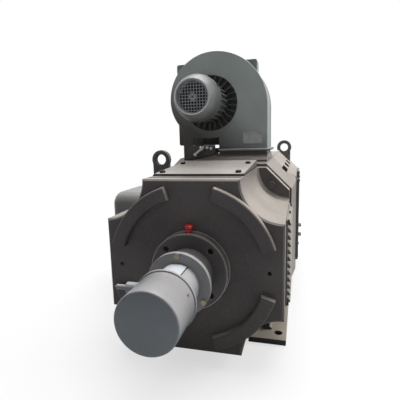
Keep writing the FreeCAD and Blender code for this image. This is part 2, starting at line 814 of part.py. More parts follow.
def yoke():
    body = new_body("yoke", 0, yoke_y, axis)
    w, front_w, bottom, low_cut = s.yoke_half_width, s.yoke_front_half, yoke_bottom, s.yoke_low_chamfer
    front = octagon(front_w, s.yoke_front_top, bottom, s.yoke_front_chamfer, low_cut - w + front_w)
    full = octagon(w, s.yoke_top, bottom, s.yoke_chamfer, low_cut)
    start = draw(body, "XZ_Plane", [front])
    finish = draw(body, "XZ_Plane", [full], s.yoke_taper)
    taper = body.newObject("PartDesign::AdditiveLoft", "yoke_taper")
    taper.Profile = start
    taper.Sections = [finish]
    taper.Ruled = True
    pad(body, draw(body, "XZ_Plane", [full], s.yoke_taper), s.yoke_length - s.yoke_taper, back=True)
    seat = rectangle(-s.seat_half, s.seat_half, s.seat_start, s.seat_start + s.seat_length)
    pad(body, draw(body, "XY_Plane", [seat], s.yoke_bore), s.yoke_top - s.yoke_bore)
    near, far, lean = s.hump_start, s.hump_start + s.hump_length, s.hump_slope
    foot_outline = rectangle(-s.hump_left, s.hump_right, near, far)
    top_outline = rectangle(s.hump_left_slope - s.hump_left, s.hump_right, near + lean, far - lean)
    pad(body, draw(body, "XY_Plane", [foot_outline], s.yoke_bore), s.hump_foot - s.yoke_bore)
    hump = body.newObject("PartDesign::AdditiveLoft", "yoke_hump")
    hump.Profile = draw(body, "XY_Plane", [foot_outline], s.hump_foot)
    hump.Sections = [draw(body, "XY_Plane", [top_outline], s.hump_top)]
    hump.Ruled = True
    pocket(body, draw(body, "XZ_Plane", [(0, 0, s.yoke_bore)]), s.yoke_length)
    slot_y = s.blower_setback + (s.blower_width - s.air_slot_length) / 2
    air_slot = rectangle(s.air_slot_start, s.air_slot_start + s.air_slot_width, slot_y,
                         slot_y + s.air_slot_length)
    pocket(body, draw(body, "XY_Plane", [air_slot], s.hump_top), s.hump_top - s.yoke_bore / 2)
    offset = s.lug_bolt_place
    hole = pocket(body, draw(body, "XZ_Plane", [(offset, offset, bolt_hole)]),
                  s.lug_bolt_grip + s.bolt_clearance)
    polar(body, [hole], 4)
    centre = w - s.yoke_chamfer / 2, s.yoke_top - s.yoke_chamfer / 2
    across, deep = s.vent_width / 2 * cosine(45), s.vent_depth * cosine(45)
    vent = [(centre[0] + across, centre[1] - across), (centre[0] + across + deep,
                                                       centre[1] - across + deep),
            (centre[0] - across + deep, centre[1] + across + deep),
            (centre[0] - across, centre[1] + across)]
    vent = [(u - deep * 0.8, v - deep * 0.8) for u, v in vent]
    first = pocket(body, draw(body, "XZ_Plane", [vent], s.vent_start), s.vent_length)
    linear(body, [first], "Y_Axis", s.vent_pitch * (s.vent_count - 1), s.vent_count)


def field_system():
    inner = s.core_radius + s.air_gap
    back = s.yoke_bore - s.fit_gap
    poles = new_body("main_poles", 0, core_y, axis)
    half, angle = s.pole_half, s.pole_shoe_angle
    shoe = inner + s.pole_shoe
    rise = root(back * back - half * half)
    neck = root(shoe * shoe - half * half)
    section = [(inner * sine(angle), inner * cosine(angle)),
               (shoe * sine(angle), shoe * cosine(angle), shoe, "left"),
               (half, neck), (half, rise, back, "left"), (-half, rise), (-half, neck, shoe, "left"),
               (-1 * shoe * sine(angle), shoe * cosine(angle)),
               (-1 * inner * sine(angle), inner * cosine(angle), inner, "right")]
    polar(poles, [pad(poles, draw(poles, "XZ_Plane", [section]), s.core_length, back=True)], 4)

    ring_coils("field_coils", half, s.coil_wall, s.coil_start, s.coil_height, 0)

    interpoles = new_body("interpoles", 0, core_y, axis, 45)
    half = s.interpole_half
    section = [(half, root(inner * inner - half * half)), (half, root(back * back - half * half), back,
                                                           "left"),
               (-half, root(back * back - half * half)), (-half, root(inner * inner - half * half), inner,
                                                          "right")]
    polar(interpoles, [pad(interpoles, draw(interpoles, "XZ_Plane", [section]), s.core_length,
                           back=True)], 4)

    ring_coils("interpole_coils", half, s.interpole_coil_wall, s.interpole_coil_start,
               s.interpole_coil_height, 45)


def ring_coils(label, pole_half, wall, start, height, turn):
    body = new_body(label, 0, core_y, axis, turn)
    inner = pole_half + s.fit_gap
    hole = rectangle(-inner, inner, -s.fit_gap, s.core_length + s.fit_gap)
    outer = rounded(-inner - wall, inner + wall, -s.fit_gap - wall, s.core_length + s.fit_gap + wall,
                    wall * 0.8)
    polar(body, [pad(body, draw(body, "XY_Plane", [outer, hole], start), height)], 4)


def foot(label, side):
    body = new_body(label, 0, 0, 0)
    half = s.foot_pitch_y / 2 + s.foot_overhang
    web = s.foot_web_outer
    low = s.foot_thickness
    chamfer_sum = s.yoke_half_width + yoke_bottom - s.yoke_low_chamfer
    outer_top = axis - (chamfer_sum - web)
    inner_top = axis - (chamfer_sum - web + s.foot_web)
    plate = rectangle(side * s.foot_inner, side * s.foot_outer, -half, half)
    pad(body, draw(body, "XY_Plane", [plate]), s.foot_thickness)
    holes = [(side * s.foot_pitch_x / 2, end * s.foot_pitch_y / 2, s.foot_hole / 2) for end in (-1, 1)]
    pocket(body, draw(body, "XY_Plane", holes, s.foot_thickness), s.foot_thickness)
    upright = [(side * (web - s.foot_web), low), (side * web, low), (side * web, outer_top),
               (side * (web - s.foot_web), inner_top)]
    front = s.foot_web_setback - half
    pad(body, draw(body, "XZ_Plane", [upright], front), yoke_end - front, back=True)


def yoke_cover():
    body = new_body("yoke_cover", s.yoke_half_width, yoke_y + s.yoke_cover_start, axis + s.yoke_cover_rise)
    half, length = s.yoke_cover_half, s.yoke_cover_length
    outline = [(0 * length, -half), (length, -half), (length, half), (s.tab_length * 2, half),
               (s.tab_length * 2, half + s.tab_rise), (s.tab_length, half + s.tab_rise),
               (s.tab_length, half),
               (0 * length, half)]
    pad(body, draw(body, "YZ_Plane", [outline]), s.yoke_cover_thickness)


def lifting_eye(label, side, y, reach, rise, chamfer_sum):
    body = new_body(label, 0, y, axis)
    x, z, r = side * reach, rise, s.eye_radius
    foot_left, foot_right = x - r * cosine(30), x + r * cosine(30)
    shoulder = z - r * sine(30)
    low_left = chamfer_sum - side * foot_left
    low_right = chamfer_sum - side * foot_right
    outline = [(foot_left, low_left), (foot_right, low_right), (foot_right, shoulder, r, "left"),
               (x, z + r, r, "left"), (foot_left, shoulder)]
    pad(body, draw(body, "XZ_Plane", [outline, (x, z, s.eye_hole)]), s.eye_thickness, back=True)
    fillet(body, s.eye_thickness / 5, lambda edge: is_circle(edge, s.eye_hole) or is_circle(edge, r))


def is_circle(edge, radius):
    return isinstance(edge.Curve, Part.Circle) and abs(edge.Curve.Radius - number(radius)) < 0.01


# Rotor

def shaft():
    nose, seat, core, end = s.shaft_nose_radius, s.nde_seat_radius, s.shaft_core_radius, s.shaft_end_radius
    step = s.shaft_shoulder
    seat_end = nde_bearing_y + s.nde_bearing_width
    profile = [(bell_y - s.shaft_nose_length, 0), (bell_y - s.shaft_nose_length, nose),
               (nde_bearing_y - step, nose),
               (nde_bearing_y - step, seat), (seat_end, seat), (seat_end, seat + step),
               (commutator_y - step, seat + step),
               (commutator_y - step, core), (core_end + s.overhang_rear, core),
               (core_end + s.overhang_rear, s.de_seat_radius + step),
               (de_bearing_y, s.de_seat_radius + step), (de_bearing_y, s.de_seat_radius),
               (de_bearing_y + s.de_bearing_width + step, s.de_seat_radius),
               (de_bearing_y + s.de_bearing_width + step, end + 1),
               (shoulder_y, end + 1), (shoulder_y, end), (shoulder_y + s.shaft_end_length - step / 2, end),
               (shoulder_y + s.shaft_end_length, end - step / 2), (shoulder_y + s.shaft_end_length, 0)]
    body = turned("shaft", profile, 0, 0, axis)
    start = shoulder_y + s.key_inset
    keyway = rounded(-s.key_width / 2, s.key_width / 2, start, start + s.key_length, s.key_width * 0.499)
    pocket(body, draw(body, "XY_Plane", [keyway], end), s.key_depth)


def armature():
    bore = s.shaft_core_radius + s.fit_gap
    slot, deep = s.slot_width / 2, s.core_radius - s.slot_depth
    core = turned("armature_core", [(0, bore), (s.core_length, bore), (s.core_length, s.core_radius),
                                    (0, s.core_radius)],
                  0, core_y, axis)
    gap = rectangle(-slot, slot, deep, s.core_radius + s.air_gap / 2)
    cut = pocket(core, draw(core, "XZ_Plane", [gap]), s.core_length)
    polar(core, [cut], s.slot_count)

    winding = new_body("armature_winding", 0, core_y, axis)
    outer = s.core_radius - s.air_gap
    front, rear = s.overhang_front, s.core_length + s.overhang_rear
    ends = [(-s.bar_gap, s.overhang_inner), (-s.bar_gap, outer), (-front * 0.4, outer),
            (-front, s.riser_radius - s.bar_gap), (-front, s.overhang_inner)]
    revolve(winding, draw(winding, "YZ_Plane", [ends]))
    half = slot - s.bar_gap
    bar = rectangle(-half, half, deep + s.bar_gap, outer - s.bar_gap)
    strip = pad(winding, draw(winding, "XZ_Plane", [bar], -s.bar_gap * 2), s.core_length + s.bar_gap * 4,
                back=True)
    polar(winding, [strip], s.slot_count)
    tail = [(s.core_length + s.bar_gap, s.overhang_inner), (rear, s.overhang_inner),
            (rear, outer - s.bar_gap * 8),
            (rear - front * 0.2, outer), (s.core_length + s.bar_gap, outer)]
    revolve(winding, draw(winding, "YZ_Plane", [tail]))

    length, riser = s.commutator_length, s.commutator_length + s.riser_length
    profile = [(0, bore), (riser, bore), (riser, s.riser_radius), (length, s.riser_radius),
               (length, s.commutator_radius),
               (s.segment_gap * 2, s.commutator_radius), (0, s.commutator_radius - s.segment_gap * 2)]
    body = turned("commutator", profile, 0, commutator_y, axis)
    slit = rectangle(-s.segment_gap / 2, s.segment_gap / 2, s.commutator_radius - s.segment_gap_depth,
                     s.riser_radius + s.bar_gap)
    cut = pocket(body, draw(body, "XZ_Plane", [slit]), riser)
    polar(body, [cut], s.segment_count)


def bearing(label, y, seat, outside, width, ball):
    """Outer and inner ring of a ball bearing, each with its ball track."""
    pitch = (seat + outside) / 2
    wall = (outside - seat) * s.ring_part
    middle = width / 2

    low = outside - wall
    track = ball + s.running_gap
    half = root(track * track - (low - pitch) * (low - pitch))
    outer = [(0, low), (middle - half, low, track, "right"), (middle + half, low), (width, low),
             (width, outside), (0, outside)]
    turned(f"{label}_outer", outer, 0, y, axis)

    bore = seat + s.fit_gap
    high = bore + wall
    track = ball + s.fit_gap
    half = root(track * track - (pitch - high) * (pitch - high))
    inner = [(0, bore), (width, bore), (width, high), (middle + half, high, track, "right"),
             (middle - half, high), (0, high)]
    turned(f"{label}_inner", inner, 0, y, axis)


def bearing_balls():
    body = new_body("bearing_balls", 0, 0, axis)
    sets = [(nde_bearing_y + s.nde_bearing_width / 2, (s.nde_seat_radius + s.nde_bearing_radius) / 2,
             s.nde_ball, s.nde_ball_count),
            (de_bearing_y + s.de_bearing_width / 2, (s.de_seat_radius + s.de_bearing_radius) / 2,
             s.de_ball, s.de_ball_count)]
    for y, pitch, radius, count in sets:
        ball = body.newObject("PartDesign::AdditiveSphere", "ball")
        bind(ball, "Radius", radius)
        for axis_name, size in zip("xyz", (0, y, pitch)):
            bind(ball, f"AttachmentOffset.Base.{axis_name}", size)
        ball.AttachmentSupport = [(origin_part(body, "XY_Plane"), "")]
        ball.MapMode = "FlatFace"
        polar(body, [ball], count)


# Brush gear

def brush_gear():
    rocker_y = bell_y + s.bell_wall
    ring = [(0, s.rocker_inner), (s.rocker_thickness, s.rocker_inner),
            (s.rocker_thickness, s.rocker_outer), (0, s.rocker_outer)]
    turned("brush_rocker", ring, 0, rocker_y, axis)

    holders = new_body("brush_holders", 0, bell_y, axis, 45)
    half = s.brush_width / 2 + s.holder_wall
    low = s.commutator_radius + s.holder_lift
    start = s.bell_wall + s.rocker_thickness
    finish = s.brush_start + s.brush_axial + s.holder_wall
    arm = pad(holders, draw(holders, "XZ_Plane", [rectangle(-half, half, low, low + s.holder_height)],
                            start),
              finish - start, back=True)
    gap = s.brush_gap
    guide = rectangle(-s.brush_width / 2 - gap, s.brush_width / 2 + gap, s.brush_start - gap,
                      s.brush_start + s.brush_axial + gap)
    hole = pocket(holders, draw(holders, "XY_Plane", [guide], low + s.holder_height), s.holder_height)
    polar(holders, [arm, hole], 4)

    for index in range(4):
        brush = new_body(f"brush_{index + 1}", 0, bell_y + s.brush_start, axis, 45 + 90 * index)
        contact = s.commutator_radius + s.running_gap
        side = s.brush_width / 2
        low_corner = root(contact * contact - side * side)
        section = [(-side, low_corner, contact, "right"), (side, low_corner),
                   (side, s.commutator_radius + s.brush_height),
                   (-side, s.commutator_radius + s.brush_height)]
        pad(brush, draw(brush, "XZ_Plane", [section]), s.brush_axial, back=True)


# Drive end

def drive_end():
    shield = new_body("de_shield", 0, yoke_end, axis)
    full = octagon(s.yoke_half_width, s.yoke_top, yoke_bottom, s.yoke_chamfer, s.yoke_low_chamfer)
    pad(shield, draw(shield, "XZ_Plane", [full]), s.shield_plate, back=True)
    face, tip = s.shield_plate, s.shield_plate + s.shield_hub_length
    seat = s.de_bearing_radius + s.fit_gap
    hub = [(face, 0), (face, s.shield_hub_radius), (tip, s.shield_hub_radius - s.shield_hub_taper),
           (tip, 0)]
    revolve(shield, draw(shield, "YZ_Plane", [hub]))
    depth = s.cover_spigot + s.de_bearing_width
    pocket(shield, draw(shield, "XZ_Plane", [(0, 0, seat)], tip - depth), depth)
    pocket(shield, draw(shield, "XZ_Plane", [(0, 0, seat - s.shield_lip)]), tip)
    window = sector(s.outlet_inner, s.outlet_outer, -s.outlet_angle, s.outlet_angle)
    slot = pocket(shield, draw(shield, "XZ_Plane", [window]), face)
    polar(shield, [slot], s.outlet_count)

    bore = s.shaft_end_radius + 1 + s.running_gap
    spigot = s.de_bearing_radius - s.running_gap
    inner = -s.cover_spigot + s.running_gap
    cover = [(s.end_cover_thickness, bore), (s.end_cover_thickness,
                                             s.shield_hub_radius - s.shield_hub_taper - s.shaft_shoulder),
             (s.end_cover_thickness - s.shaft_shoulder, s.shield_hub_radius - s.shield_hub_taper),
             (0, s.shield_hub_radius - s.shield_hub_taper),
             (0, spigot), (inner, spigot), (inner, bore * 1.6), (0, bore * 1.6), (0, bore)]
    turned("de_bearing_cover", cover, 0, hub_end, axis)


# Terminal box on the left side

def terminal_box():
    left = -s.yoke_half_width
    start = yoke_y + s.box_start
    r, wall = s.box_round, s.box_wall
    outer = [(0 * r, -s.box_bottom), (s.box_length, -s.box_bottom),
             (s.box_length, s.box_top - r, r, "left"),
             (s.box_length - r, s.box_top), (r, s.box_top, r, "left"), (0 * r, s.box_top - r)]
    inner = [(wall, wall - s.box_bottom), (s.box_length - wall, wall - s.box_bottom),
             (s.box_length - wall, s.box_top - r, r - wall, "left"), (s.box_length - r, s.box_top - wall),
             (r, s.box_top - wall, r - wall, "left"), (wall, s.box_top - r)]
    box = new_body("terminal_box", left, start, axis)
    pad(box, draw(box, "YZ_Plane", [outer]), s.box_depth, back=True)
    pocket(box, draw(box, "YZ_Plane", [inner], -s.box_depth), s.box_depth - wall, back=True)
    gland_x, gland_y = -s.box_depth / 2, s.box_length - s.gland_inset
    pocket(box, draw(box, "XY_Plane", [(gland_x, gland_y, s.gland_bore)], wall - s.box_bottom), wall)

    lid = new_body("terminal_lid", left - s.box_depth, start, axis)
    pad(lid, draw(lid, "YZ_Plane", [outer]), s.lid_depth, back=True)
    fillet(lid, s.lid_round, lambda edge: lies_at(edge, "x", -s.lid_depth))
    pocket(lid, draw(lid, "YZ_Plane", [inner]), s.lid_depth / 3)

    board = new_body("terminal_board", left - wall, start, axis)
    margin = s.board_margin
    slab = rectangle(margin, s.box_length - margin, margin - s.box_bottom, s.box_top - s.box_round)
    pad(board, draw(board, "YZ_Plane", [slab]), s.board_thickness, back=True)
    pitch = (s.box_length - margin * 4) / (s.stud_count - 1)
    stud = pad(board, draw(board, "YZ_Plane", [(margin * 2, (s.box_top - s.box_round - s.box_bottom) / 2,
                                                s.stud_radius)],
                           -s.board_thickness), s.stud_length, back=True)
    linear(board, [stud], "Y_Axis", pitch * (s.stud_count - 1), s.stud_count)

    gland = new_body("cable_gland", left - s.box_depth / 2, start + gland_y, axis - s.box_bottom)
    profile = [(s.gland_bore, 0), (s.gland_collar, 0), (s.gland_collar, -s.gland_collar_length),
               (s.gland_radius, -s.gland_collar_length), (s.gland_radius, -s.gland_length * 0.8),
               (s.gland_radius - s.gland_length * 0.12, -s.gland_length), (s.gland_bore, -s.gland_length)]
    revolve(gland, draw(gland, "XZ_Plane", [profile]), "V_Axis")


# Blower on top

def scroll_curves(grow):
    """Arc places of the scroll, moved outwards by grow: the radius rises clockwise from left to right."""
    step = s.scroll_growth / 2
    left = s.scroll_left + grow
    return SimpleNamespace(
        step=step, left=left, low_radius=left - step, top_radius=left + step, right_radius=left + step * 3,
        top=left + step * 2, right=left + step * 4)


def scroll_wall_x(curve, x):
    """Height of the scroll's lower arc at the place x."""
    across = x + curve.step
    return curve.step - root(curve.low_radius * curve.low_radius - across * across)


def side_plate(label, y, inlet):
    body = new_body(label, s.fan_x, y, fan_z)
    c = scroll_curves(0)
    foot_low = -s.blower_foot
    notch_left, notch_right = s.leg_width - s.leg_left, s.outlet_left
    notch_top = foot_low + s.notch_height
    outline = [(c.right, foot_low), (c.right, -c.step, c.right_radius, "left"),
               (c.step, c.top, c.top_radius, "left"),
               (-c.left, c.step, c.low_radius, "left"), (-s.leg_left, scroll_wall_x(c, -s.leg_left)),
               (-s.leg_left, foot_low),
               (notch_left, foot_low), (notch_left, notch_top), (notch_right, notch_top),
               (notch_right, foot_low)]
    pad(body, draw(body, "XZ_Plane", [outline, (0, 0, inlet)]), s.blower_sheet, back=True)


def blower_wrapper():
    body = new_body("blower_wrapper", s.fan_x, blower_y + s.blower_sheet, fan_z)
    c, d = scroll_curves(0), scroll_curves(-s.blower_sheet)
    low = -s.blower_foot
    tongue, inner_tongue = s.outlet_left, s.outlet_left + s.blower_sheet
    band = [(c.right, low), (c.right, -c.step, c.right_radius, "left"),
            (c.step, c.top, c.top_radius, "left"),
            (-c.left, c.step, c.low_radius, "left"), (-c.step, c.step - c.low_radius, c.low_radius, "left"),
            (tongue, scroll_wall_x(c, tongue)), (tongue, low), (inner_tongue, low),
            (inner_tongue, scroll_wall_x(d, inner_tongue), d.low_radius, "right"),
            (-d.step, d.step - d.low_radius, d.low_radius, "right"),
            (-d.left, d.step, d.top_radius, "right"),
            (d.step, d.top, d.right_radius, "right"), (d.right, -d.step), (d.right, low)]
    pad(body, draw(body, "XZ_Plane", [band]), s.blower_width - s.blower_sheet * 2, back=True)


def blower_base():
    body = new_body("blower_base", s.fan_x, blower_y, base_z)
    top = fan_z - s.blower_foot - base_z
    hump = s.hump_top - s.yoke_top
    c = scroll_curves(0)
    lip, wall, plate = s.base_lip, s.base_wall, s.base_plate
    left, right, depth = s.outlet_left, c.right, s.blower_width
    duct_hole = rectangle(left + wall, right - wall, wall + 0, depth - wall)
    duct = rectangle(left, right, 0 * depth, depth)
    pad(body, draw(body, "XY_Plane", [duct, duct_hole], hump), top - hump)
    collar = rectangle(left, right + lip, -lip, depth)
    pad(body, draw(body, "XY_Plane", [collar, duct_hole], top - s.base_flange), s.base_flange)
    tie = rectangle(-s.leg_left, left + wall, depth - plate, depth)
    pad(body, draw(body, "XY_Plane", [tie], hump), top - hump)
    leg = rectangle(-s.leg_left, s.leg_width - s.leg_left, 0 * depth, depth)
    pad(body, draw(body, "XY_Plane", [leg]), top)
    bracket = [(-s.bracket_left, 0 * top), (s.leg_width - s.leg_left, 0 * top), (s.bracket_right, hump),
               (s.bracket_right, s.bracket_height), (-s.bracket_left, s.bracket_height)]
    pad(body, draw(body, "XZ_Plane", [bracket], -plate), plate, back=True)


def impeller():
    body = new_body("impeller", s.fan_x, blower_y + (s.blower_width - s.impeller_width) / 2, fan_z)
    hub_bore = s.fan_shaft_radius + s.fit_gap
    width, plate, outer, inner = s.impeller_width, s.impeller_plate, s.impeller_radius, s.impeller_bore
    disc = [(0, hub_bore), (0, outer), (plate, outer), (plate, s.impeller_hub),
            (width / 2, s.impeller_hub), (width / 2, hub_bore)]
    revolve(body, draw(body, "YZ_Plane", [disc]))
    skin = s.blade_sheet
    blade = [(0 * inner, inner, s.blade_curve * 1.8, "right"), (s.blade_curve * 0.75, outer - skin),
             (s.blade_curve * 0.75 - skin, outer - skin, s.blade_curve * 1.8, "left"), (-skin, inner)]
    vane = pad(body, draw(body, "XZ_Plane", [blade], plate / 2), width - plate, back=True)
    polar(body, [vane], s.blade_count)
    rim = [(width - plate, inner), (width, inner), (width, outer), (width - plate, outer)]
    revolve(body, draw(body, "YZ_Plane", [rim]))


def filter_box():
    body = new_body("filter_box", s.fan_x - s.filter_shift, blower_end, fan_z + s.filter_rise)
    w, h, wall = s.filter_half_width, s.filter_half_height, s.filter_wall
    pad(body, draw(body, "XZ_Plane", [rounded(-w, w, -h, h, s.filter_edge)]), s.filter_depth, back=True)
    frame = s.filter_frame
    hollow = rectangle(wall - w, w - wall, wall - h, h - wall)
    pocket(body, draw(body, "XZ_Plane", [hollow], wall), s.filter_depth - wall * 2)
    pocket(body, draw(body, "XZ_Plane", [(s.filter_shift, -s.filter_rise, s.back_inlet_radius)]), wall)
    pitch = (h - frame) * 2 / s.filter_slats
    low = frame - h
    gap = rectangle(frame - w, w - frame, low + s.filter_slat / 2, low + pitch - s.filter_slat / 2)
    slot = pocket(body, draw(body, "XZ_Plane", [gap], s.filter_depth - wall), wall)
    linear(body, [slot], "Z_Axis", pitch * (s.filter_slats - 1), s.filter_slats)


# Fan motor in front of the blower

def fan_motor():
    flange = new_body("fan_motor_flange", s.fan_x, blower_y, fan_z)
    plate, hub = s.fan_flange_plate, s.fan_flange_hub
    rim = s.inlet_radius - s.running_gap
    bore = s.fan_body_bore
    dish = [(s.blower_sheet, bore), (s.blower_sheet, rim + s.base_lip),
            (s.blower_sheet + plate, rim + s.base_lip),
            (s.blower_sheet + plate, bore)]
    revolve(flange, draw(flange, "YZ_Plane", [dish]))
    drop = s.fan_rib_height
    fin = rectangle(-s.fan_rib / 2, s.fan_rib / 2, hub, rim)
    rib = pad(flange, draw(flange, "XZ_Plane", [fin], s.blower_sheet + plate / 2), drop)
    polar(flange, [rib], s.fan_rib_count)

    back = s.fan_body_length
    body = new_body("fan_motor_body", s.fan_x, blower_y + s.blower_sheet - back, fan_z)
    radius = s.fan_body_radius
    neck = s.fan_shaft_radius + s.running_gap / 3
    shell = [(0, neck), (0, radius - plate), (plate, radius), (back, radius), (back, neck)]
    revolve(body, draw(body, "YZ_Plane", [shell]))
    fin = rectangle(-s.fan_fin / 2, s.fan_fin / 2, radius - s.fan_fin, radius + s.fan_fin_height)
    ridge = pad(body, draw(body, "XZ_Plane", [fin], plate * 2), back - s.fan_rib_height - plate * 3,
                back=True)
    polar(body, [ridge], s.fan_fin_count)

    fan_front = blower_y + s.blower_sheet - back - s.cowl_length + s.fan_fin_height * 2
    cowl = new_body("fan_cowl", s.fan_x, fan_front, fan_z)
    r, nose, cone, skin = s.cowl_radius, s.cowl_front_radius, s.cowl_cone, s.cowl_sheet
    seat = s.fan_body_radius + s.fan_fin_height + s.fit_gap
    mesh, pitch, half = s.grille_radius, s.grille_pitch, (s.grille_pitch - s.grille_hole) / 2
    recess, rim_in = s.cowl_recess, s.grille_radius + s.cowl_sheet
    outer = [(recess, 0), (recess, rim_in), (0, rim_in), (0, nose, s.cowl_bow, "right"), (cone, r),
             (s.cowl_length, r), (s.cowl_length, seat), (cone + skin, seat), (cone + skin, r - skin * 2),
             (cone, r - skin, s.cowl_bow - skin, "left"), (recess + skin, nose), (recess + skin, 0)]
    revolve(cowl, draw(cowl, "YZ_Plane", [outer]))
    pocket(cowl, draw(cowl, "XZ_Plane", [(0, 0, mesh)], recess), skin)
    count = int(number(mesh) / number(pitch))
    bars = []
    for index in range(-count, count):
        offset = pitch * (index + 0.5)
        reach = root(mesh * mesh - offset * offset) + skin / 2
        bars.append((offset - half, offset + half, -reach, reach))
    uprights = [rectangle(low, high, bottom, top) for low, high, bottom, top in bars]
    crossbars = [rectangle(left, right, low, high) for low, high, left, right in bars]
    pad(cowl, draw(cowl, "XZ_Plane", uprights, recess), skin, back=True)
    pad(cowl, draw(cowl, "XZ_Plane", crossbars, recess), skin, back=True)
    pad(cowl, draw(cowl, "XZ_Plane", [(0, 0, s.grille_hub)], recess), skin, back=True)
    pocket(cowl, draw(cowl, "XZ_Plane", [(0, 0, s.grille_hole / 2)], recess), skin)

    tip = fan_front + s.cowl_cone / 2
    end = blower_y + (s.blower_width + s.impeller_width) / 2
    rod = [(tip, 0), (tip, s.fan_shaft_radius), (end - s.impeller_width / 2, s.fan_shaft_radius),
           (end - s.impeller_width / 2, 0)]
    turned("fan_shaft", rod, s.fan_x, 0, fan_z)

    wheel = new_body("cooling_fan", s.fan_x, fan_front + s.cowl_cone / 2, fan_z)
    bore = s.fan_shaft_radius + s.fit_gap
    depth, reach = s.cooling_fan_depth, s.cooling_fan_radius
    disc = [(depth, bore), (depth, reach), (depth - skin * 1.5, reach), (depth - skin * 1.5, bore * 1.6),
            (0, bore * 1.6), (0, bore)]
    revolve(wheel, draw(wheel, "YZ_Plane", [disc]))
    blade = rectangle(-skin / 2, skin / 2, bore * 1.5, reach)
    vane = pad(wheel, draw(wheel, "XZ_Plane", [blade]), depth - skin / 2, back=True)
    polar(wheel, [vane], s.cooling_fan_blades)


nde_bell()
lug_bolts()
top_cover()
louvre_cover("louvre_cover_right", 1)
louvre_cover("louvre_cover_left", -1)
nde_bearing_cover()
bearing_cover_bolts()
grease_fittings()
tacho_pieces()
yoke()
field_system()
foot("foot_right", 1)
foot("foot_left", -1)
yoke_cover()
lug_sum = s.bell_half_width + s.bell_half_height - s.flange_chamfer
yoke_sum = s.yoke_half_width + s.yoke_top - s.yoke_chamfer
eye_inset = (s.flange_thickness - s.eye_thickness) / 2
lifting_eye("lifting_eye_front", -1, flange_y + eye_inset, s.front_eye_x, s.front_eye_rise, lug_sum)
lifting_eye("lifting_eye_rear", 1, yoke_end - s.rear_eye_inset, s.rear_eye_x, s.rear_eye_rise, yoke_sum)
shaft()
armature()
bearing("nde_bearing", nde_bearing_y, s.nde_seat_radius, s.nde_bearing_radius, s.nde_bearing_width,
        s.nde_ball)
bearing("de_bearing", de_bearing_y, s.de_seat_radius, s.de_bearing_radius, s.de_bearing_width, s.de_ball)
bearing_balls()
brush_gear()
drive_end()
terminal_box()
side_plate("blower_front_plate", blower_y, s.inlet_radius)
blower_wrapper()
side_plate("blower_back_plate", blower_end - s.blower_sheet, s.back_inlet_radius)
blower_base()
impeller()
filter_box()
fan_motor()
doc.recompute()

failed = [item.Label for item in doc.Objects if {"Invalid", "Error"} & set(item.State)]
failed += [piece.Label for piece in pieces if piece.Shape.isNull() or not piece.Shape.isValid()]
if failed:
    raise ValueError("these did not build: " + ", ".join(failed))

os.makedirs("parts", exist_ok=True)
for piece in pieces:
    piece.Shape.exportStep(f"parts/{piece.Label}.step")
    box = piece.Shape.BoundBox
    print(f"{piece.Label}: {len(piece.Shape.Solids)} solids, {piece.Shape.Volume / 1000:.1f} cm3, "
          f"x {box.XMin:.1f} {box.XMax:.1f}, y {box.YMin:.1f} {box.YMax:.1f}, "
          f"z {box.ZMin:.1f} {box.ZMax:.1f}")
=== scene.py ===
import bpy
import bmesh
import json
import math
from mathutils import Matrix, Vector


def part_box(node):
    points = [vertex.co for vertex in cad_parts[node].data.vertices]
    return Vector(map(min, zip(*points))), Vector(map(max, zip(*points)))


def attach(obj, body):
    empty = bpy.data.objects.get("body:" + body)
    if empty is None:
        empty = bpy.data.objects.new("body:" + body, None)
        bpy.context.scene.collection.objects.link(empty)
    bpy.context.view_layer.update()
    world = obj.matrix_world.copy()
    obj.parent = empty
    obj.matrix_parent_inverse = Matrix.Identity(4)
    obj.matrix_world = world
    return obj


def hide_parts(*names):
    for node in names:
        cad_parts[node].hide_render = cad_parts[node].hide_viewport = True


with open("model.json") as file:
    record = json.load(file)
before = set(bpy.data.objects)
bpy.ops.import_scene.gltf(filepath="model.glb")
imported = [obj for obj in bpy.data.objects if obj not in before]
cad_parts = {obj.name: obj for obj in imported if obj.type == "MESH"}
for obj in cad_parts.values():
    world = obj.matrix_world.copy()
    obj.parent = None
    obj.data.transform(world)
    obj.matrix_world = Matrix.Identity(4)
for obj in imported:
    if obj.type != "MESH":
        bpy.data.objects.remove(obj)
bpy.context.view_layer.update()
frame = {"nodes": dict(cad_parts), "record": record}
nodes = frame["nodes"]
scene = bpy.context.scene
scene.view_settings.view_transform = "Standard"
slotOf = {row["node"]: row["material_slot"] for row in frame["record"]["subparts"]}
print("motor loaded,", len(nodes), "parts")

mm = 0.001
axisZ = 0.2  # shaft height


# finishes

def wire(tree, a, b):
    tree.links.new(a, b)


def feed(tree, value, socket):
    # value is another node's output or a fixed value
    if hasattr(value, "is_output"):
        wire(tree, value, socket)
    else:
        socket.default_value = value


def addNode(tree, kind, x, y, **values):
    node = tree.nodes.new(kind)
    node.location = (x, y)
    for key, value in values.items():
        setattr(node, key, value)
    return node


def noiseAt(tree, coords, scale, detail, x, y, stretch=None):
    noise = addNode(tree, "ShaderNodeTexNoise", x, y)
    noise.inputs["Scale"].default_value = scale
    noise.inputs["Detail"].default_value = detail
    if stretch:
        mapping = addNode(tree, "ShaderNodeMapping", x - 200, y)
        mapping.inputs["Scale"].default_value = stretch
        wire(tree, coords, mapping.inputs["Vector"])
        wire(tree, mapping.outputs["Vector"], noise.inputs["Vector"])
    else:
        wire(tree, coords, noise.inputs["Vector"])
    return noise.outputs["Fac"]


def spread(tree, value, low, high, x, y, fromLow=0.3, fromHigh=0.7):
    mapper = addNode(tree, "ShaderNodeMapRange", x, y)
    mapper.inputs["From Min"].default_value = fromLow
    mapper.inputs["From Max"].default_value = fromHigh
    mapper.inputs["To Min"].default_value = low
    mapper.inputs["To Max"].default_value = high
    wire(tree, value, mapper.inputs["Value"])
    return mapper.outputs["Result"]


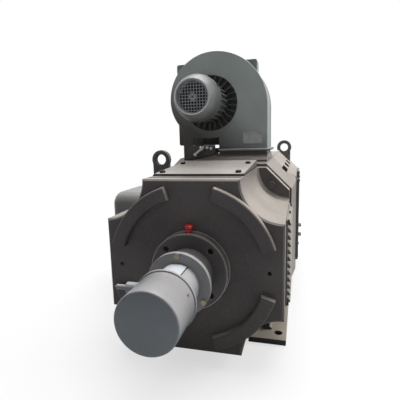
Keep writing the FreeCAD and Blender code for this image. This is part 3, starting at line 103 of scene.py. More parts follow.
def blendColour(tree, factor, first, second, x, y):
    mix = addNode(tree, "ShaderNodeMix", x, y, data_type="RGBA")
    for socket, value in ((mix.inputs[6], first), (mix.inputs[7], second)):  # the mix node's two colours
        if hasattr(value, "is_output"):
            wire(tree, value, socket)
        else:
            socket.default_value = (*value, 1)
    wire(tree, factor, mix.inputs[0])
    return mix.outputs[2]


def dotProduct(tree, vector, other, x, y):
    product = addNode(tree, "ShaderNodeVectorMath", x, y, operation="DOT_PRODUCT")
    wire(tree, vector, product.inputs[0])
    feed(tree, other, product.inputs[1])
    return product.outputs["Value"]


def mathNode(tree, operation, first, second, x, y):
    node = addNode(tree, "ShaderNodeMath", x, y, operation=operation)
    feed(tree, first, node.inputs[0])
    feed(tree, second, node.inputs[1])
    return node.outputs[0]


# what a look has where it doesn't say otherwise
finishDefaults = {
    "darker": 0.82, "lighter": 1.15, "patch": 9, "patchDetail": 4, "grain": 260, "grainDetail": 3,
    "stretch": None, "lowShadeAmount": 0.88,
    "dustAndLightFrom": (0.58, 0.1, 0.81), "dustAndLightAmount": 0.8, "dustAndLightFacing": (0.25, 0.85), "dustAndLightPatchy": (0.7, 1.0),
    "speckScale": 420, "speckDetail": 2, "speckAmount": 0.55, "speckRange": (0.62, 0.72),
    "edge": 0, "wornAndLitEdgeAmount": 0.6, "wornAndLitEdgeRange": (0.8, 0.97), "roughChange": 0.1, "metal": 0.0,
    "specular": 0.5, "coat": 0.0, "coatRough": 0.2, "bump": 0.12, "bumpDepth": 0.0006,
}


def makeFinish(name, settings):
    look = {**finishDefaults, **settings}
    finish = bpy.data.materials.new(name)
    finish.use_nodes = True
    tree = finish.node_tree
    shader = tree.nodes["Principled BSDF"]
    coords = addNode(tree, "ShaderNodeTexCoord", -1500, 0).outputs["Object"]
    normal = addNode(tree, "ShaderNodeNewGeometry", -1300, 700).outputs["Normal"]
    dark = tuple(c * look["darker"] for c in look["colour"])
    light = tuple(min(c * look["lighter"], 1) for c in look["colour"])
    broad = noiseAt(tree, coords, look["patch"], look["patchDetail"], -1100, 300)
    fine = noiseAt(tree, coords, look["grain"], look["grainDetail"], -1100, -100, look["stretch"])
    colour = blendColour(tree, spread(tree, broad, 0, 1, -900, 300), dark, light, -700, 300)
    if "lowShade" in look:  # painted shade, darker towards the foot of the piece
        height = dotProduct(tree, coords, look["lowShadeAlong"], -1100, 900)
        shadedLow = spread(tree, height, look["lowShadeAmount"], 0, -900, 900, *look["lowShadeFrom"])
        colour = blendColour(tree, shadedLow, colour, look["lowShade"], -600, 600)
    if "dustAndLight" in look:  # pale on the faces that look towards its direction: part dust, part painted light
        facing = dotProduct(tree, normal, look["dustAndLightFrom"], -1100, 700)
        dustedAndLit = spread(tree, facing, 0, look["dustAndLightAmount"], -900, 700, *look["dustAndLightFacing"])
        patches = spread(tree, broad, *look["dustAndLightPatchy"], -900, 550)
        dustAndLightShare = mathNode(tree, "MULTIPLY", dustedAndLit, patches, -700, 700)
        colour = blendColour(tree, dustAndLightShare, colour, look["dustAndLight"], -500, 500)
    if "speck" in look:
        specks = noiseAt(tree, coords, look["speckScale"], look["speckDetail"], -1100, 120)
        specked = spread(tree, specks, 0, look["speckAmount"], -900, 120, *look["speckRange"])
        colour = blendColour(tree, specked, colour, look["speck"], -300, 350)
    soft = None
    if look["edge"]:
        bevel = addNode(tree, "ShaderNodeBevel", -500, -450, samples=4)
        bevel.inputs["Radius"].default_value = look["edge"]
        soft = bevel.outputs["Normal"]
    if "wornAndLitEdge" in look:  # paint pale along the edges: part wear, part painted highlight
        along = dotProduct(tree, normal, soft, -700, 900)
        rubbedAndLit = spread(tree, along, look["wornAndLitEdgeAmount"], 0, -500, 900, *look["wornAndLitEdgeRange"])
        colour = blendColour(tree, rubbedAndLit, colour, look["wornAndLitEdge"], -200, 600)
    wire(tree, colour, shader.inputs["Base Color"])
    smoothest, roughest = look["rough"] - look["roughChange"], look["rough"] + look["roughChange"]
    wire(tree, spread(tree, fine, smoothest, roughest, -700, -100), shader.inputs["Roughness"])
    shader.inputs["Metallic"].default_value = look["metal"]
    shader.inputs["Specular IOR Level"].default_value = look["specular"]
    shader.inputs["Coat Weight"].default_value = look["coat"]
    shader.inputs["Coat Roughness"].default_value = look["coatRough"]
    bump = addNode(tree, "ShaderNodeBump", -300, -300)
    bump.inputs["Strength"].default_value = look["bump"]
    bump.inputs["Distance"].default_value = look["bumpDepth"]
    wire(tree, fine, bump.inputs["Height"])
    if soft:
        wire(tree, soft, bump.inputs["Normal"])
    wire(tree, bump.outputs["Normal"], shader.inputs["Normal"])
    return finish


finishLooks = {
    # motor_paint: the dark base colour is painted shade for the unlit front faces; the pale colour towards
    # the top and right is part dust, part painted light; the pale edges are part wear, part painted
    # highlight; the darkening towards the bottom is painted shade
    "motor_paint": {"colour": (0.105, 0.094, 0.096), "dustAndLight": (0.42, 0.378, 0.33),
                    "dustAndLightFrom": (0.69, 0.1, 0.72), "rough": 0.52, "specular": 0.28, "grain": 220,
                    "bump": 0.18, "edge": 0.002,
                    "wornAndLitEdge": (0.34, 0.31, 0.29), "wornAndLitEdgeAmount": 0.25, "speck": (0.2, 0.18, 0.16),
                    "lowShade": (0.06, 0.05, 0.049), "lowShadeAlong": (0, 0, 1), "lowShadeFrom": (0.02, 0.22)},
    # lid_paint: the top cover's pale top is part dust, part painted light that makes up for the blower's
    # shade on it
    "lid_paint": {"colour": (0.105, 0.094, 0.096), "dustAndLight": (0.5, 0.465, 0.43), "dustAndLightFrom": (0, 0, 1),
                  "rough": 0.52, "specular": 0.28, "bump": 0.16, "edge": 0.002, "wornAndLitEdge": (0.4, 0.37, 0.34),
                  "wornAndLitEdgeAmount": 0.3},
    "cover_paint": {"colour": (0.13, 0.122, 0.108), "dustAndLight": (0.32, 0.295, 0.25), "rough": 0.42,
                    "specular": 0.35, "bump": 0.12, "edge": 0.0015},
    "dark_paint": {"colour": (0.09, 0.083, 0.087), "dustAndLight": (0.2, 0.185, 0.17), "dustAndLightAmount": 0.45,
                   "rough": 0.4, "specular": 0.4, "bump": 0.14, "edge": 0.0016,
                   "wornAndLitEdge": (0.36, 0.35, 0.34), "wornAndLitEdgeAmount": 0.8},
    # a plain pale paint; on the lug fillets and the cover beads it is a painted highlight
    "pale_paint": {"colour": (0.33, 0.305, 0.285), "rough": 0.4, "bump": 0.1},
    "box_paint": {"colour": (0.165, 0.16, 0.16), "dustAndLight": (0.33, 0.325, 0.315), "dustAndLightFrom": (0, 0, 1),
                  "rough": 0.42, "specular": 0.4, "bump": 0.12, "edge": 0.002, "wornAndLitEdge": (0.2, 0.2, 0.2)},
    # foot_paint: the dark base colour is painted shade for the foot under the bell; the pale colour on its
    # top is part dust, part painted light
    "foot_paint": {"colour": (0.04, 0.037, 0.035), "dustAndLight": (0.5, 0.45, 0.38), "dustAndLightAmount": 0.85,
                   "rough": 0.5, "specular": 0.3, "bump": 0.2, "edge": 0.002},
    # blower_paint and wrapper_paint: the darkening towards the lower left is painted shade under the scroll
    "blower_paint": {"colour": (0.38, 0.425, 0.42), "dustAndLight": (0.42, 0.435, 0.42), "dustAndLightAmount": 0.5,
                     "rough": 0.48, "specular": 0.3, "bump": 0.08, "edge": 0.0015,
                     "wornAndLitEdge": (0.42, 0.44, 0.42), "wornAndLitEdgeAmount": 0.5,
                     "lowShade": (0.066, 0.055, 0.05), "lowShadeAlong": (0.55, 0, 1), "lowShadeFrom": (0.42, 0.53)},
    "wrapper_paint": {"colour": (0.21, 0.236, 0.232), "dustAndLight": (0.27, 0.283, 0.27), "dustAndLightAmount": 0.5,
                      "rough": 0.48, "specular": 0.3, "bump": 0.08, "edge": 0.0015,
                      "lowShade": (0.066, 0.055, 0.05), "lowShadeAlong": (0.55, 0, 1), "lowShadeFrom": (0.36, 0.5)},
    "base_paint": {"colour": (0.12, 0.114, 0.108), "dustAndLight": (0.5, 0.49, 0.47), "dustAndLightFrom": (0, 0, 1),
                   "dustAndLightAmount": 0.9, "rough": 0.48, "specular": 0.3, "bump": 0.1, "edge": 0.001},
    "fan_metal": {"colour": (0.07, 0.074, 0.07), "rough": 0.6, "metal": 0.3, "bump": 0.3, "edge": 0.001,
                  "wornAndLitEdge": (0.2, 0.21, 0.2)},
    "sheet_metal": {"colour": (0.25, 0.258, 0.25), "rough": 0.5, "metal": 0.2, "bump": 0.1, "edge": 0.0015,
                    "patch": 30},
    # cowl_metal: the pale front faces and pale edges are painted light and painted highlights on the grille
    # bars and rim
    "cowl_metal": {"colour": (0.058, 0.061, 0.058), "dustAndLight": (0.46, 0.48, 0.5), "dustAndLightFrom": (0, -1, 0),
                   "rough": 0.45, "metal": 0.1, "bump": 0.1, "edge": 0.0012, "patch": 30,
                   "wornAndLitEdge": (0.62, 0.64, 0.64), "wornAndLitEdgeAmount": 0.7},
    "rim_highlight_metal": {"colour": (0.72, 0.74, 0.74), "rough": 0.35, "metal": 0.5, "bump": 0.05},
    "bolt_steel": {"colour": (0.36, 0.36, 0.36), "rough": 0.36, "metal": 0.9, "bump": 0.1, "edge": 0.0006},
    "yellow_zinc": {"colour": (0.42, 0.375, 0.23), "rough": 0.36, "metal": 0.9, "bump": 0.1, "edge": 0.0006},
    "red_plastic": {"colour": (0.6, 0.012, 0.008), "rough": 0.3, "bump": 0.03, "coat": 0.3, "edge": 0.0006},
    # tacho_metal: faces towards the top and right are painted paler and front faces stay darker, as painted
    # light
    "tacho_metal": {"colour": (0.25, 0.252, 0.262), "dustAndLight": (0.47, 0.465, 0.47), "dustAndLightFrom": (0.35, 0, 0.94),
                    "rough": 0.42, "bump": 0.08, "edge": 0.001},
    "tacho_plastic": {"colour": (0.165, 0.185, 0.205), "dustAndLight": (0.4, 0.375, 0.37), "rough": 0.36,
                      "bump": 0.06, "coat": 0.15, "edge": 0.001},
    "machined_steel": {"colour": (0.34, 0.335, 0.32), "rough": 0.36, "metal": 0.9, "bump": 0.12,
                       "edge": 0.001, "grain": 420, "stretch": (1, 6, 1)},
    "bearing_steel": {"colour": (0.55, 0.55, 0.55), "rough": 0.2, "metal": 1.0, "bump": 0.03, "edge": 0.0006},
    "lamination": {"colour": (0.1, 0.095, 0.09), "rough": 0.5, "metal": 0.6, "bump": 0.35, "grain": 900,
                   "stretch": (0.05, 1, 0.05)},
    "copper": {"colour": (0.52, 0.2, 0.085), "rough": 0.34, "metal": 1.0, "bump": 0.1, "edge": 0.0006},
    "winding": {"colour": (0.13, 0.035, 0.014), "rough": 0.32, "bump": 0.5, "grain": 300,
                "stretch": (0.3, 1, 0.3), "coat": 0.4},
    "carbon": {"colour": (0.012, 0.012, 0.013), "rough": 0.6, "bump": 0.2},
    "brush_gear": {"colour": (0.4, 0.29, 0.09), "rough": 0.38, "metal": 0.95, "bump": 0.15, "edge": 0.001},
    "black_steel": {"colour": (0.03, 0.03, 0.031), "rough": 0.42, "metal": 0.7, "bump": 0.1, "edge": 0.0005},
    "bright_zinc": {"colour": (0.75, 0.76, 0.77), "rough": 0.22, "metal": 1.0, "bump": 0.05, "edge": 0.0005},
    "black_rubber": {"colour": (0.012, 0.012, 0.012), "rough": 0.65, "bump": 0.15},
    "plate_metal": {"colour": (0.44, 0.455, 0.455), "rough": 0.4, "metal": 0.25, "bump": 0.06,
                    "stretch": (8, 1, 1), "grain": 300, "patch": 60},
    "white_plate": {"colour": (0.53, 0.545, 0.575), "rough": 0.45, "bump": 0.03},
    "insulation": {"colour": (0.035, 0.024, 0.018), "rough": 0.5, "bump": 0.15, "edge": 0.001},
}
# the bell gets less of the pale colour on its right-facing faces than the yoke; that colour is part dust,
# part painted light
finishLooks["bell_paint"] = dict(finishLooks["motor_paint"], dustAndLightFrom=(0.42, 0.1, 0.9), wornAndLitEdgeAmount=0.2)
finishes = {name: makeFinish(name, look) for name, look in finishLooks.items()}
# nodes that don't look like the rest of their slot
ownFinish = {"nde_bell": "bell_paint", "tacho_adapter": "dark_paint", "nde_bearing_cover": "dark_paint",
             "yoke_cover": "dark_paint", "lug_bolts": "dark_paint", "top_cover": "lid_paint",
             "blower_base": "base_paint", "cooling_fan": "carbon", "fan_cowl": "cowl_metal",
             "blower_wrapper": "wrapper_paint", "blower_back_plate": "wrapper_paint",
             "filter_box": "wrapper_paint"}
for name, part in nodes.items():
    part.data.materials.clear()
    part.data.materials.append(finishes[ownFinish.get(name, slotOf[name])])
print("finishes made,", len(finishes))


# camera, light and floor

viewSettings = {"place": (0.19757, -1.0535, 0.44787), "yaw": 15.4425, "pitch": 9.6084, "roll": -1.5684,
                "focalPixels": 361.29, "framePixels": 400, "sensorWidth": 36}


def setCamera(settings):
    yaw, pitch, roll = (math.radians(settings[key]) for key in ("yaw", "pitch", "roll"))
    level = math.cos(pitch)
    ahead = Vector((-math.sin(yaw) * level, math.cos(yaw) * level, -math.sin(pitch)))
    right = ahead.cross(Vector((0, 0, 1))).normalized()
    up = right.cross(ahead)
    across = math.cos(roll) * right + math.sin(roll) * up
    upright = -math.sin(roll) * right + math.cos(roll) * up
    data = bpy.data.cameras.new("photoCamera")
    data.sensor_width = settings["sensorWidth"]
    data.lens = settings["focalPixels"] / settings["framePixels"] * settings["sensorWidth"]
    camera = bpy.data.objects.new("photoCamera", data)
    matrix = Matrix((across, upright, -ahead)).transposed().to_4x4()
    matrix.translation = settings["place"]
    camera.matrix_world = matrix
    scene.collection.objects.link(camera)
    scene.camera = camera


# mirrored says whether shiny faces show the lamp itself
lampSettings = {
    "overheadBox": {"place": (0.2, 0.45, 2.6), "target": (0.1, 0.25, 0.3), "size": (2.6, 2.2), "power": 82,
                    "mirrored": True},
    "rightBox": {"place": (2.1, 0.5, 1.3), "target": (0.1, 0, 0.3), "size": (1.4, 1.6), "power": 39,
                 "mirrored": False},
    "leftBox": {"place": (-2.2, 0.2, 1.3), "target": (-0.1, 0, 0.3), "size": (1.4, 1.4), "power": 14,
                "mirrored": False},
}


def addSoftbox(name, settings):
    data = bpy.data.lights.new(name, "AREA")
    data.shape = "RECTANGLE"
    data.size, data.size_y = settings["size"]
    data.energy = settings["power"]
    lamp = bpy.data.objects.new(name, data)
    lamp.location = settings["place"]
    aim = Vector(settings["target"]) - Vector(settings["place"])
    lamp.rotation_euler = aim.to_track_quat("-Z", "Y").to_euler()
    lamp.visible_glossy = settings["mirrored"]
    scene.collection.objects.link(lamp)


worldSettings = {"ambient": 0.25, "rear": 1.0, "rearFrom": (-0.3, 0.5)}


def setWorld(settings):
    # white to the camera, dim as light, and brighter behind the motor in reflections
    world = bpy.data.worlds.new("studio")
    scene.world = world
    world.use_nodes = True
    tree = world.node_tree
    back = tree.nodes["Background"]
    back.inputs["Color"].default_value = (1, 1, 1, 1)
    path = addNode(tree, "ShaderNodeLightPath", -900, 0).outputs
    seen = mathNode(tree, "MAXIMUM", path["Is Camera Ray"], path["Is Transmission Ray"], -700, 100)
    coords = addNode(tree, "ShaderNodeTexCoord", -1300, -200)
    direction = addNode(tree, "ShaderNodeSeparateXYZ", -1100, -200)
    wire(tree, coords.outputs["Generated"], direction.inputs["Vector"])
    rear = spread(tree, direction.outputs["Y"], settings["ambient"], settings["rear"], -900, -200,
                  *settings["rearFrom"])
    glossy = mathNode(tree, "MULTIPLY", path["Is Glossy Ray"], rear, -700, -100)
    strongest = mathNode(tree, "MAXIMUM", seen, glossy, -500, 0)
    level = mathNode(tree, "MAXIMUM", strongest, settings["ambient"], -300, 0)
    wire(tree, level, back.inputs["Strength"])


floorSettings = {"size": 12, "drop": 0.0005, "bounce": (0.5, 0.5, 0.5), "seen": (0.9, 0.9, 0.9), "rough": 0.9,
                 "white": 0.62, "fade": (0.75, 1.7)}


def addFloor(settings):
    # keeps the part's shadow and fades to white away from it
    half, drop = settings["size"] / 2, settings["drop"]
    mesh = bpy.data.meshes.new("paleFloor")
    corners = ((-half, -half), (half, -half), (half, half), (-half, half))
    mesh.from_pydata([(x, y, -drop) for x, y in corners], [], [(0, 1, 2, 3)])
    floor = bpy.data.objects.new("paleFloor", mesh)
    scene.collection.objects.link(floor)
    finish = bpy.data.materials.new("paleFloor")
    finish.use_nodes = True
    tree = finish.node_tree
    shader = tree.nodes["Principled BSDF"]
    shader.inputs["Base Color"].default_value = (*settings["bounce"], 1)
    shader.inputs["Roughness"].default_value = settings["rough"]
    shadowed = addNode(tree, "ShaderNodeBsdfDiffuse", -300, -200)
    shadowed.inputs["Color"].default_value = (*settings["seen"], 1)
    glow = addNode(tree, "ShaderNodeEmission", -300, -400)
    coords = addNode(tree, "ShaderNodeTexCoord", -1100, -300)
    reach = addNode(tree, "ShaderNodeVectorMath", -900, -300, operation="LENGTH")
    wire(tree, coords.outputs["Object"], reach.inputs[0])
    whiter = spread(tree, reach.outputs["Value"], settings["white"], 1, -600, -300, *settings["fade"])
    seen = addNode(tree, "ShaderNodeMixShader", 0, -300)
    wire(tree, whiter, seen.inputs[0])
    wire(tree, shadowed.outputs[0], seen.inputs[1])
    wire(tree, glow.outputs[0], seen.inputs[2])
    path = addNode(tree, "ShaderNodeLightPath", 0, 300)
    mix = addNode(tree, "ShaderNodeMixShader", 250, 100)
    wire(tree, path.outputs["Is Camera Ray"], mix.inputs[0])
    wire(tree, shader.outputs[0], mix.inputs[1])
    wire(tree, seen.outputs[0], mix.inputs[2])
    wire(tree, mix.outputs[0], tree.nodes["Material Output"].inputs["Surface"])
    mesh.materials.append(finish)


setCamera(viewSettings)
setWorld(worldSettings)
for name, settings in lampSettings.items():
    addSoftbox(name, settings)
addFloor(floorSettings)
print("camera and light set")


# small fasteners, one tree for every kind of head

def makeHeadTree():
    tree = bpy.data.node_groups.new("screwHeads", "GeometryNodeTree")
    face = tree.interface
    face.new_socket("Points", in_out="INPUT", socket_type="NodeSocketGeometry")
    face.new_socket("Sides", in_out="INPUT", socket_type="NodeSocketInt")
    for label in ("Head Radius", "Head Height", "Crown", "Recess Share", "Recess Depth"):
        face.new_socket(label, in_out="INPUT", socket_type="NodeSocketFloat")
    face.new_socket("Finish", in_out="INPUT", socket_type="NodeSocketMaterial")
    face.new_socket("Geometry", in_out="OUTPUT", socket_type="NodeSocketGeometry")
    given = addNode(tree, "NodeGroupInput", -1200, 0).outputs
    drum = addNode(tree, "GeometryNodeMeshCylinder", -900, 200)
    wire(tree, given["Sides"], drum.inputs["Vertices"])
    wire(tree, given["Head Radius"], drum.inputs["Radius"])
    wire(tree, given["Head Height"], drum.inputs["Depth"])
    mesh, top = drum.outputs["Mesh"], drum.outputs["Top"]

    def raiseTop(mesh, top, distance, share, x):
        lift = addNode(tree, "GeometryNodeExtrudeMesh", x, 200)
        wire(tree, mesh, lift.inputs["Mesh"])
        wire(tree, top, lift.inputs["Selection"])
        feed(tree, distance, lift.inputs["Offset Scale"])
        shrink = addNode(tree, "GeometryNodeScaleElements", x + 180, 200)
        wire(tree, lift.outputs["Mesh"], shrink.inputs["Geometry"])
        wire(tree, lift.outputs["Top"], shrink.inputs["Selection"])
        feed(tree, share, shrink.inputs["Scale"])
        return shrink.outputs["Geometry"], lift.outputs["Top"]

    crownShare, recessTaper = 0.84, 0.96
    mesh, top = raiseTop(mesh, top, given["Crown"], crownShare, -650)
    mesh, top = raiseTop(mesh, top, 0.0, given["Recess Share"], -250)
    mesh, top = raiseTop(mesh, top, given["Recess Depth"], recessTaper, 150)
    facing = addNode(tree, "GeometryNodeInputNamedAttribute", 300, -300, data_type="FLOAT_VECTOR")
    facing.inputs["Name"].default_value = "facing"
    turn = addNode(tree, "FunctionNodeAlignRotationToVector", 500, -300, axis="Z")
    wire(tree, facing.outputs["Attribute"], turn.inputs["Vector"])
    scatter = addNode(tree, "GeometryNodeInstanceOnPoints", 700, 0)
    wire(tree, given["Points"], scatter.inputs["Points"])
    wire(tree, mesh, scatter.inputs["Instance"])
    wire(tree, turn.outputs["Rotation"], scatter.inputs["Rotation"])
    solid = addNode(tree, "GeometryNodeRealizeInstances", 900, 0)
    wire(tree, scatter.outputs["Instances"], solid.inputs["Geometry"])
    paint = addNode(tree, "GeometryNodeSetMaterial", 1100, 0)
    wire(tree, solid.outputs["Geometry"], paint.inputs["Geometry"])
    wire(tree, given["Finish"], paint.inputs["Material"])
    wire(tree, paint.outputs["Geometry"], addNode(tree, "NodeGroupOutput", 1300, 0).inputs["Geometry"])
    return tree


headTree = makeHeadTree()
socketIds = {item.name: item.identifier for item in headTree.interface.items_tree if item.in_out == "INPUT"}


def keepPiece(piece, body="stator"):
    scene.collection.objects.link(piece)
    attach(piece, body)
    return piece


headDefaults = {"sides": 20, "recess": 0.55, "deep": 0.55, "crown": 0.18}


def setHeads(name, settings, places):
    # places are (point, direction) with the point on the seat, in metres
    head = {**headDefaults, **settings}
    facings = [Vector(direction).normalized() for point, direction in places]
    middles = [Vector(point) + facing * head["height"] / 2 for (point, _), facing in zip(places, facings)]
    mesh = bpy.data.meshes.new(name)
    mesh.from_pydata(middles, [], [])
    stored = mesh.attributes.new("facing", "FLOAT_VECTOR", "POINT")
    for index, facing in enumerate(facings):
        stored.data[index].vector = facing
    seed = bpy.data.objects.new(name + "Seed", mesh)
    scene.collection.objects.link(seed)
    modifier = seed.modifiers.new("heads", "NODES")
    modifier.node_group = headTree
    values = {"Sides": head["sides"], "Head Radius": head["radius"], "Head Height": head["height"],
              "Crown": head["height"] * head["crown"], "Recess Share": head["recess"],
              "Recess Depth": -head["height"] * head["deep"], "Finish": finishes[head["finish"]]}
    for label, value in values.items():
        modifier[socketIds[label]] = value
    baked = bpy.data.meshes.new_from_object(seed.evaluated_get(bpy.context.evaluated_depsgraph_get()))
    baked.name = name
    bpy.data.objects.remove(seed)
    return keepPiece(bpy.data.objects.new(name, baked))


def onCircle(radius, angle, y, centre=(0, axisZ)):
    return (centre[0] + radius * math.cos(angle), y, centre[1] + radius * math.sin(angle))


def anglesRound(count, first=0):
    return [math.radians(first) + 2 * math.pi * step / count for step in range(count)]


def gridPlaces(facing, xs, ys, zs):
    return [((x, y, z), facing) for x in xs for y in ys for z in zs]


def roundPlaces(radius, angles, y, centre=(0, axisZ)):
    # heads that stand on a cylinder and look outwards
    return [(onCircle(radius, a, y, centre), (math.cos(a), 0, math.sin(a))) for a in angles]


coverScrew = {"radius": 6 * mm, "height": 4 * mm, "recess": 0.5, "finish": "black_steel"}
hexScrew = {"radius": 8 * mm, "height": 6 * mm, "sides": 6, "recess": 0.9, "deep": 0.02,
            "finish": "bolt_steel"}
smallScrew = {"radius": 4 * mm, "height": 2.4 * mm, "recess": 0.4, "finish": "bolt_steel"}
capScrew = {"radius": 2.4 * mm, "height": 1.2 * mm, "recess": 0.45, "finish": "bolt_steel"}
rivet = {"radius": 1.6 * mm, "height": 0.8 * mm, "recess": 0.3, "deep": 0.1, "finish": "bolt_steel"}

coverSeat = {"front": -0.355, "back": -0.126, "low": 0.3785, "high": 0.391, "across": 0.081,
             "rows": (-0.337, -0.195)}
tilt = (coverSeat["high"] - coverSeat["low"]) / (coverSeat["back"] - coverSeat["front"])
setHeads("topCoverScrews", coverScrew,
         [((x, y, coverSeat["low"] + tilt * (y - coverSeat["front"])), (0, -tilt, 1))
          for x in (-coverSeat["across"], coverSeat["across"]) for y in coverSeat["rows"]])

louvreSeat = {"face": 0.179, "insetY": 0.007, "insetZ": 0.005}
for side, name in ((1, "louvre_cover_right"), (-1, "louvre_cover_left")):
    low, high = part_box(name)
    setHeads(name.replace("louvre_cover_", "louvreScrews_"),
             dict(smallScrew, height=3 * mm, finish="black_steel"),
             gridPlaces((side, 0, 0), (side * louvreSeat["face"],),
                        (low.y + louvreSeat["insetY"], (low.y + high.y) / 2, high.y - louvreSeat["insetY"]),
                        (low.z + louvreSeat["insetZ"], high.z - louvreSeat["insetZ"])))

sideCover = {"inset": 0.012, "boltRows": (0.208, 0.182), "screwStart": 0.1, "screwShift": 0.03,
             "screwTop": 0.32}
low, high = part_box("yoke_cover")
setHeads("yokeCoverBolts", dict(hexScrew, radius=5.5 * mm, finish="pale_paint"),
         gridPlaces((1, 0, 0), (high.x,), (low.y + sideCover["inset"],), sideCover["boltRows"]))
setHeads("yokeCoverScrews", dict(smallScrew, height=1.4 * mm, finish="black_steel"),
         gridPlaces((1, 0, 0), (high.x,),
                    (low.y + sideCover["screwStart"], (low.y + high.y) / 2 + sideCover["screwShift"],
                     high.y - sideCover["inset"]),
                    (low.z + sideCover["inset"], sideCover["screwTop"])))

lidSeat = {"inset": 0.036, "topInset": 0.04}
low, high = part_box("terminal_lid")
setHeads("terminalLidScrews", coverScrew,
         gridPlaces((-1, 0, 0), (low.x,), (low.y + lidSeat["inset"], high.y - lidSeat["inset"]),
                    (low.z + lidSeat["inset"], high.z - lidSeat["topInset"])))

endCover = {"radius": 0.07, "first": 30, "count": 6}
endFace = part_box("de_bearing_cover")[1].y
setHeads("endCoverBolts", hexScrew,
         [(onCircle(endCover["radius"], a, endFace), (0, 1, 0))
          for a in anglesRound(endCover["count"], endCover["first"])])

shieldSeat = {"face": 0.351, "x": 0.15, "z": 0.14}
setHeads("shieldBolts", hexScrew,
         gridPlaces((0, 1, 0), (-shieldSeat["x"], shieldSeat["x"]), (shieldSeat["face"],),
                    (axisZ - shieldSeat["z"], axisZ + shieldSeat["z"])))

filterInset = 0.011
low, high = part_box("filter_box")
setHeads("filterScrews", smallScrew,
         gridPlaces((0, 1, 0), (low.x + filterInset, high.x - filterInset), (high.y,),
                    (low.z + filterInset, (low.z + high.z) / 2, high.z - filterInset)))

cowlSeat = {"inset": 0.009, "rimInset": 0.0004, "first": 30, "count": 3}
cowlLow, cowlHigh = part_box("fan_cowl")
cowlCentre = ((cowlLow.x + cowlHigh.x) / 2, (cowlLow.z + cowlHigh.z) / 2)
setHeads("cowlScrews", dict(smallScrew, radius=3 * mm, height=2 * mm, finish="black_steel"),
         roundPlaces((cowlHigh.x - cowlLow.x) / 2, anglesRound(cowlSeat["count"], cowlSeat["first"]),
                     cowlHigh.y - cowlSeat["inset"], cowlCentre))
print("fasteners set")


# plates, beads and seals

def meshPiece(name, slotName, build, *details, smooth=None):
    form = bmesh.new()
    build(form, *details)
    bmesh.ops.remove_doubles(form, verts=form.verts, dist=1e-6)
    bmesh.ops.recalc_face_normals(form, faces=form.faces)
    mesh = bpy.data.meshes.new(name)
    form.to_mesh(mesh)
    form.free()
    if smooth:
        mesh.shade_smooth()
        mesh.set_sharp_from_angle(angle=math.radians(smooth))
    mesh.materials.append(finishes[slotName])
    return keepPiece(bpy.data.objects.new(name, mesh))


def addSlab(form, low, high, edge=0.0):
    cube = bmesh.ops.create_cube(form, size=1)
    size = Vector(high) - Vector(low)
    middle = (Vector(high) + Vector(low)) / 2
    for vert in cube["verts"]:
        vert.co = Vector((vert.co.x * size.x, vert.co.y * size.y, vert.co.z * size.z)) + middle
    if edge:
        edges = list(dict.fromkeys(e for v in cube["verts"] for e in v.link_edges))  # always in one order
        bmesh.ops.bevel(form, geom=edges, offset=edge, segments=2, affect="EDGES", profile=0.6)


def sweepProfile(form, rings, closed=False):
    # rings of points, each ring a closed section
    rows = [[form.verts.new(point) for point in ring] for ring in rings]
    pairs = list(zip(rows, rows[1:])) + ([(rows[-1], rows[0])] if closed else [])
    for first, second in pairs:
        for index in range(len(first)):
            after = (index + 1) % len(first)
            form.faces.new((first[index], first[after], second[after], second[index]))
    if not closed:
        form.faces.new(reversed(rows[0]))
        form.faces.new(rows[-1])


def tubeRings(path, radius, across, sides=8):
    # a round bead along path; across is a direction that the path never follows
    rings = []
    for index, point in enumerate(path):
        ahead = Vector(path[min(index + 1, len(path) - 1)]) - Vector(path[max(index - 1, 0)])
        first = ahead.cross(Vector(across)).normalized()
        second = ahead.cross(first).normalized()
        rings.append([Vector(point) + radius * (math.cos(a) * first + math.sin(a) * second)
                      for a in anglesRound(sides)])
    return rings


def buildTurned(form, profile, centre=(0, axisZ), steps=96):
    # profile is a closed list of (y, radius) round an axis along y
    rings = [[onCircle(r, a, y, centre) for y, r in profile] for a in anglesRound(steps)]
    sweepProfile(form, rings, closed=True)


def quarterArc(radius, step=15):
    # (sine, cosine) parts of a quarter circle
    angles = [math.radians(degrees) for degrees in range(0, 91, step)]
    return [(radius * math.sin(a), radius * math.cos(a)) for a in angles]


dataPlate = {"low": (0.0536, -0.0842, 0.433), "high": (0.1027, -0.083, 0.463), "edge": 0.0003,
             "border": 0.0022, "raised": 0.0005, "lineRaised": 0.0004, "sunk": 0.0001, "rows": 5,
             "lineInset": 0.0066, "lineWide": 0.00055, "rivetInset": 0.004}


def buildPlate(form, plate):
    # a bare plate with a raised border, its face towards the front
    low, high, border = Vector(plate["low"]), Vector(plate["high"]), plate["border"]
    addSlab(form, low, high, plate["edge"])
    front, back = low.y - plate["raised"], low.y + plate["sunk"]
    left, right = low.x + border, high.x - border
    for x, z, xEnd, zEnd in ((low.x, low.z, left, high.z), (right, low.z, high.x, high.z),
                             (left, low.z, right, low.z + border), (left, high.z - border, right, high.z)):
        addSlab(form, (x, front, z), (xEnd, back, zEnd))
    for row in range(1, plate["rows"]):  # lines between the empty fields
        z = low.z + (high.z - low.z) * row / plate["rows"] - plate["lineWide"] / 2
        addSlab(form, (low.x + plate["lineInset"], low.y - plate["lineRaised"], z),
                (high.x - plate["lineInset"], back, z + plate["lineWide"]))


meshPiece("blowerDataPlate", "plate_metal", buildPlate, dataPlate)
low, high, inset = Vector(dataPlate["low"]), Vector(dataPlate["high"]), dataPlate["rivetInset"]
setHeads("plateRivets", rivet, gridPlaces((0, -1, 0), (low.x + inset, high.x - inset), (low.y,),
                                          (low.z + inset, high.z - inset)))

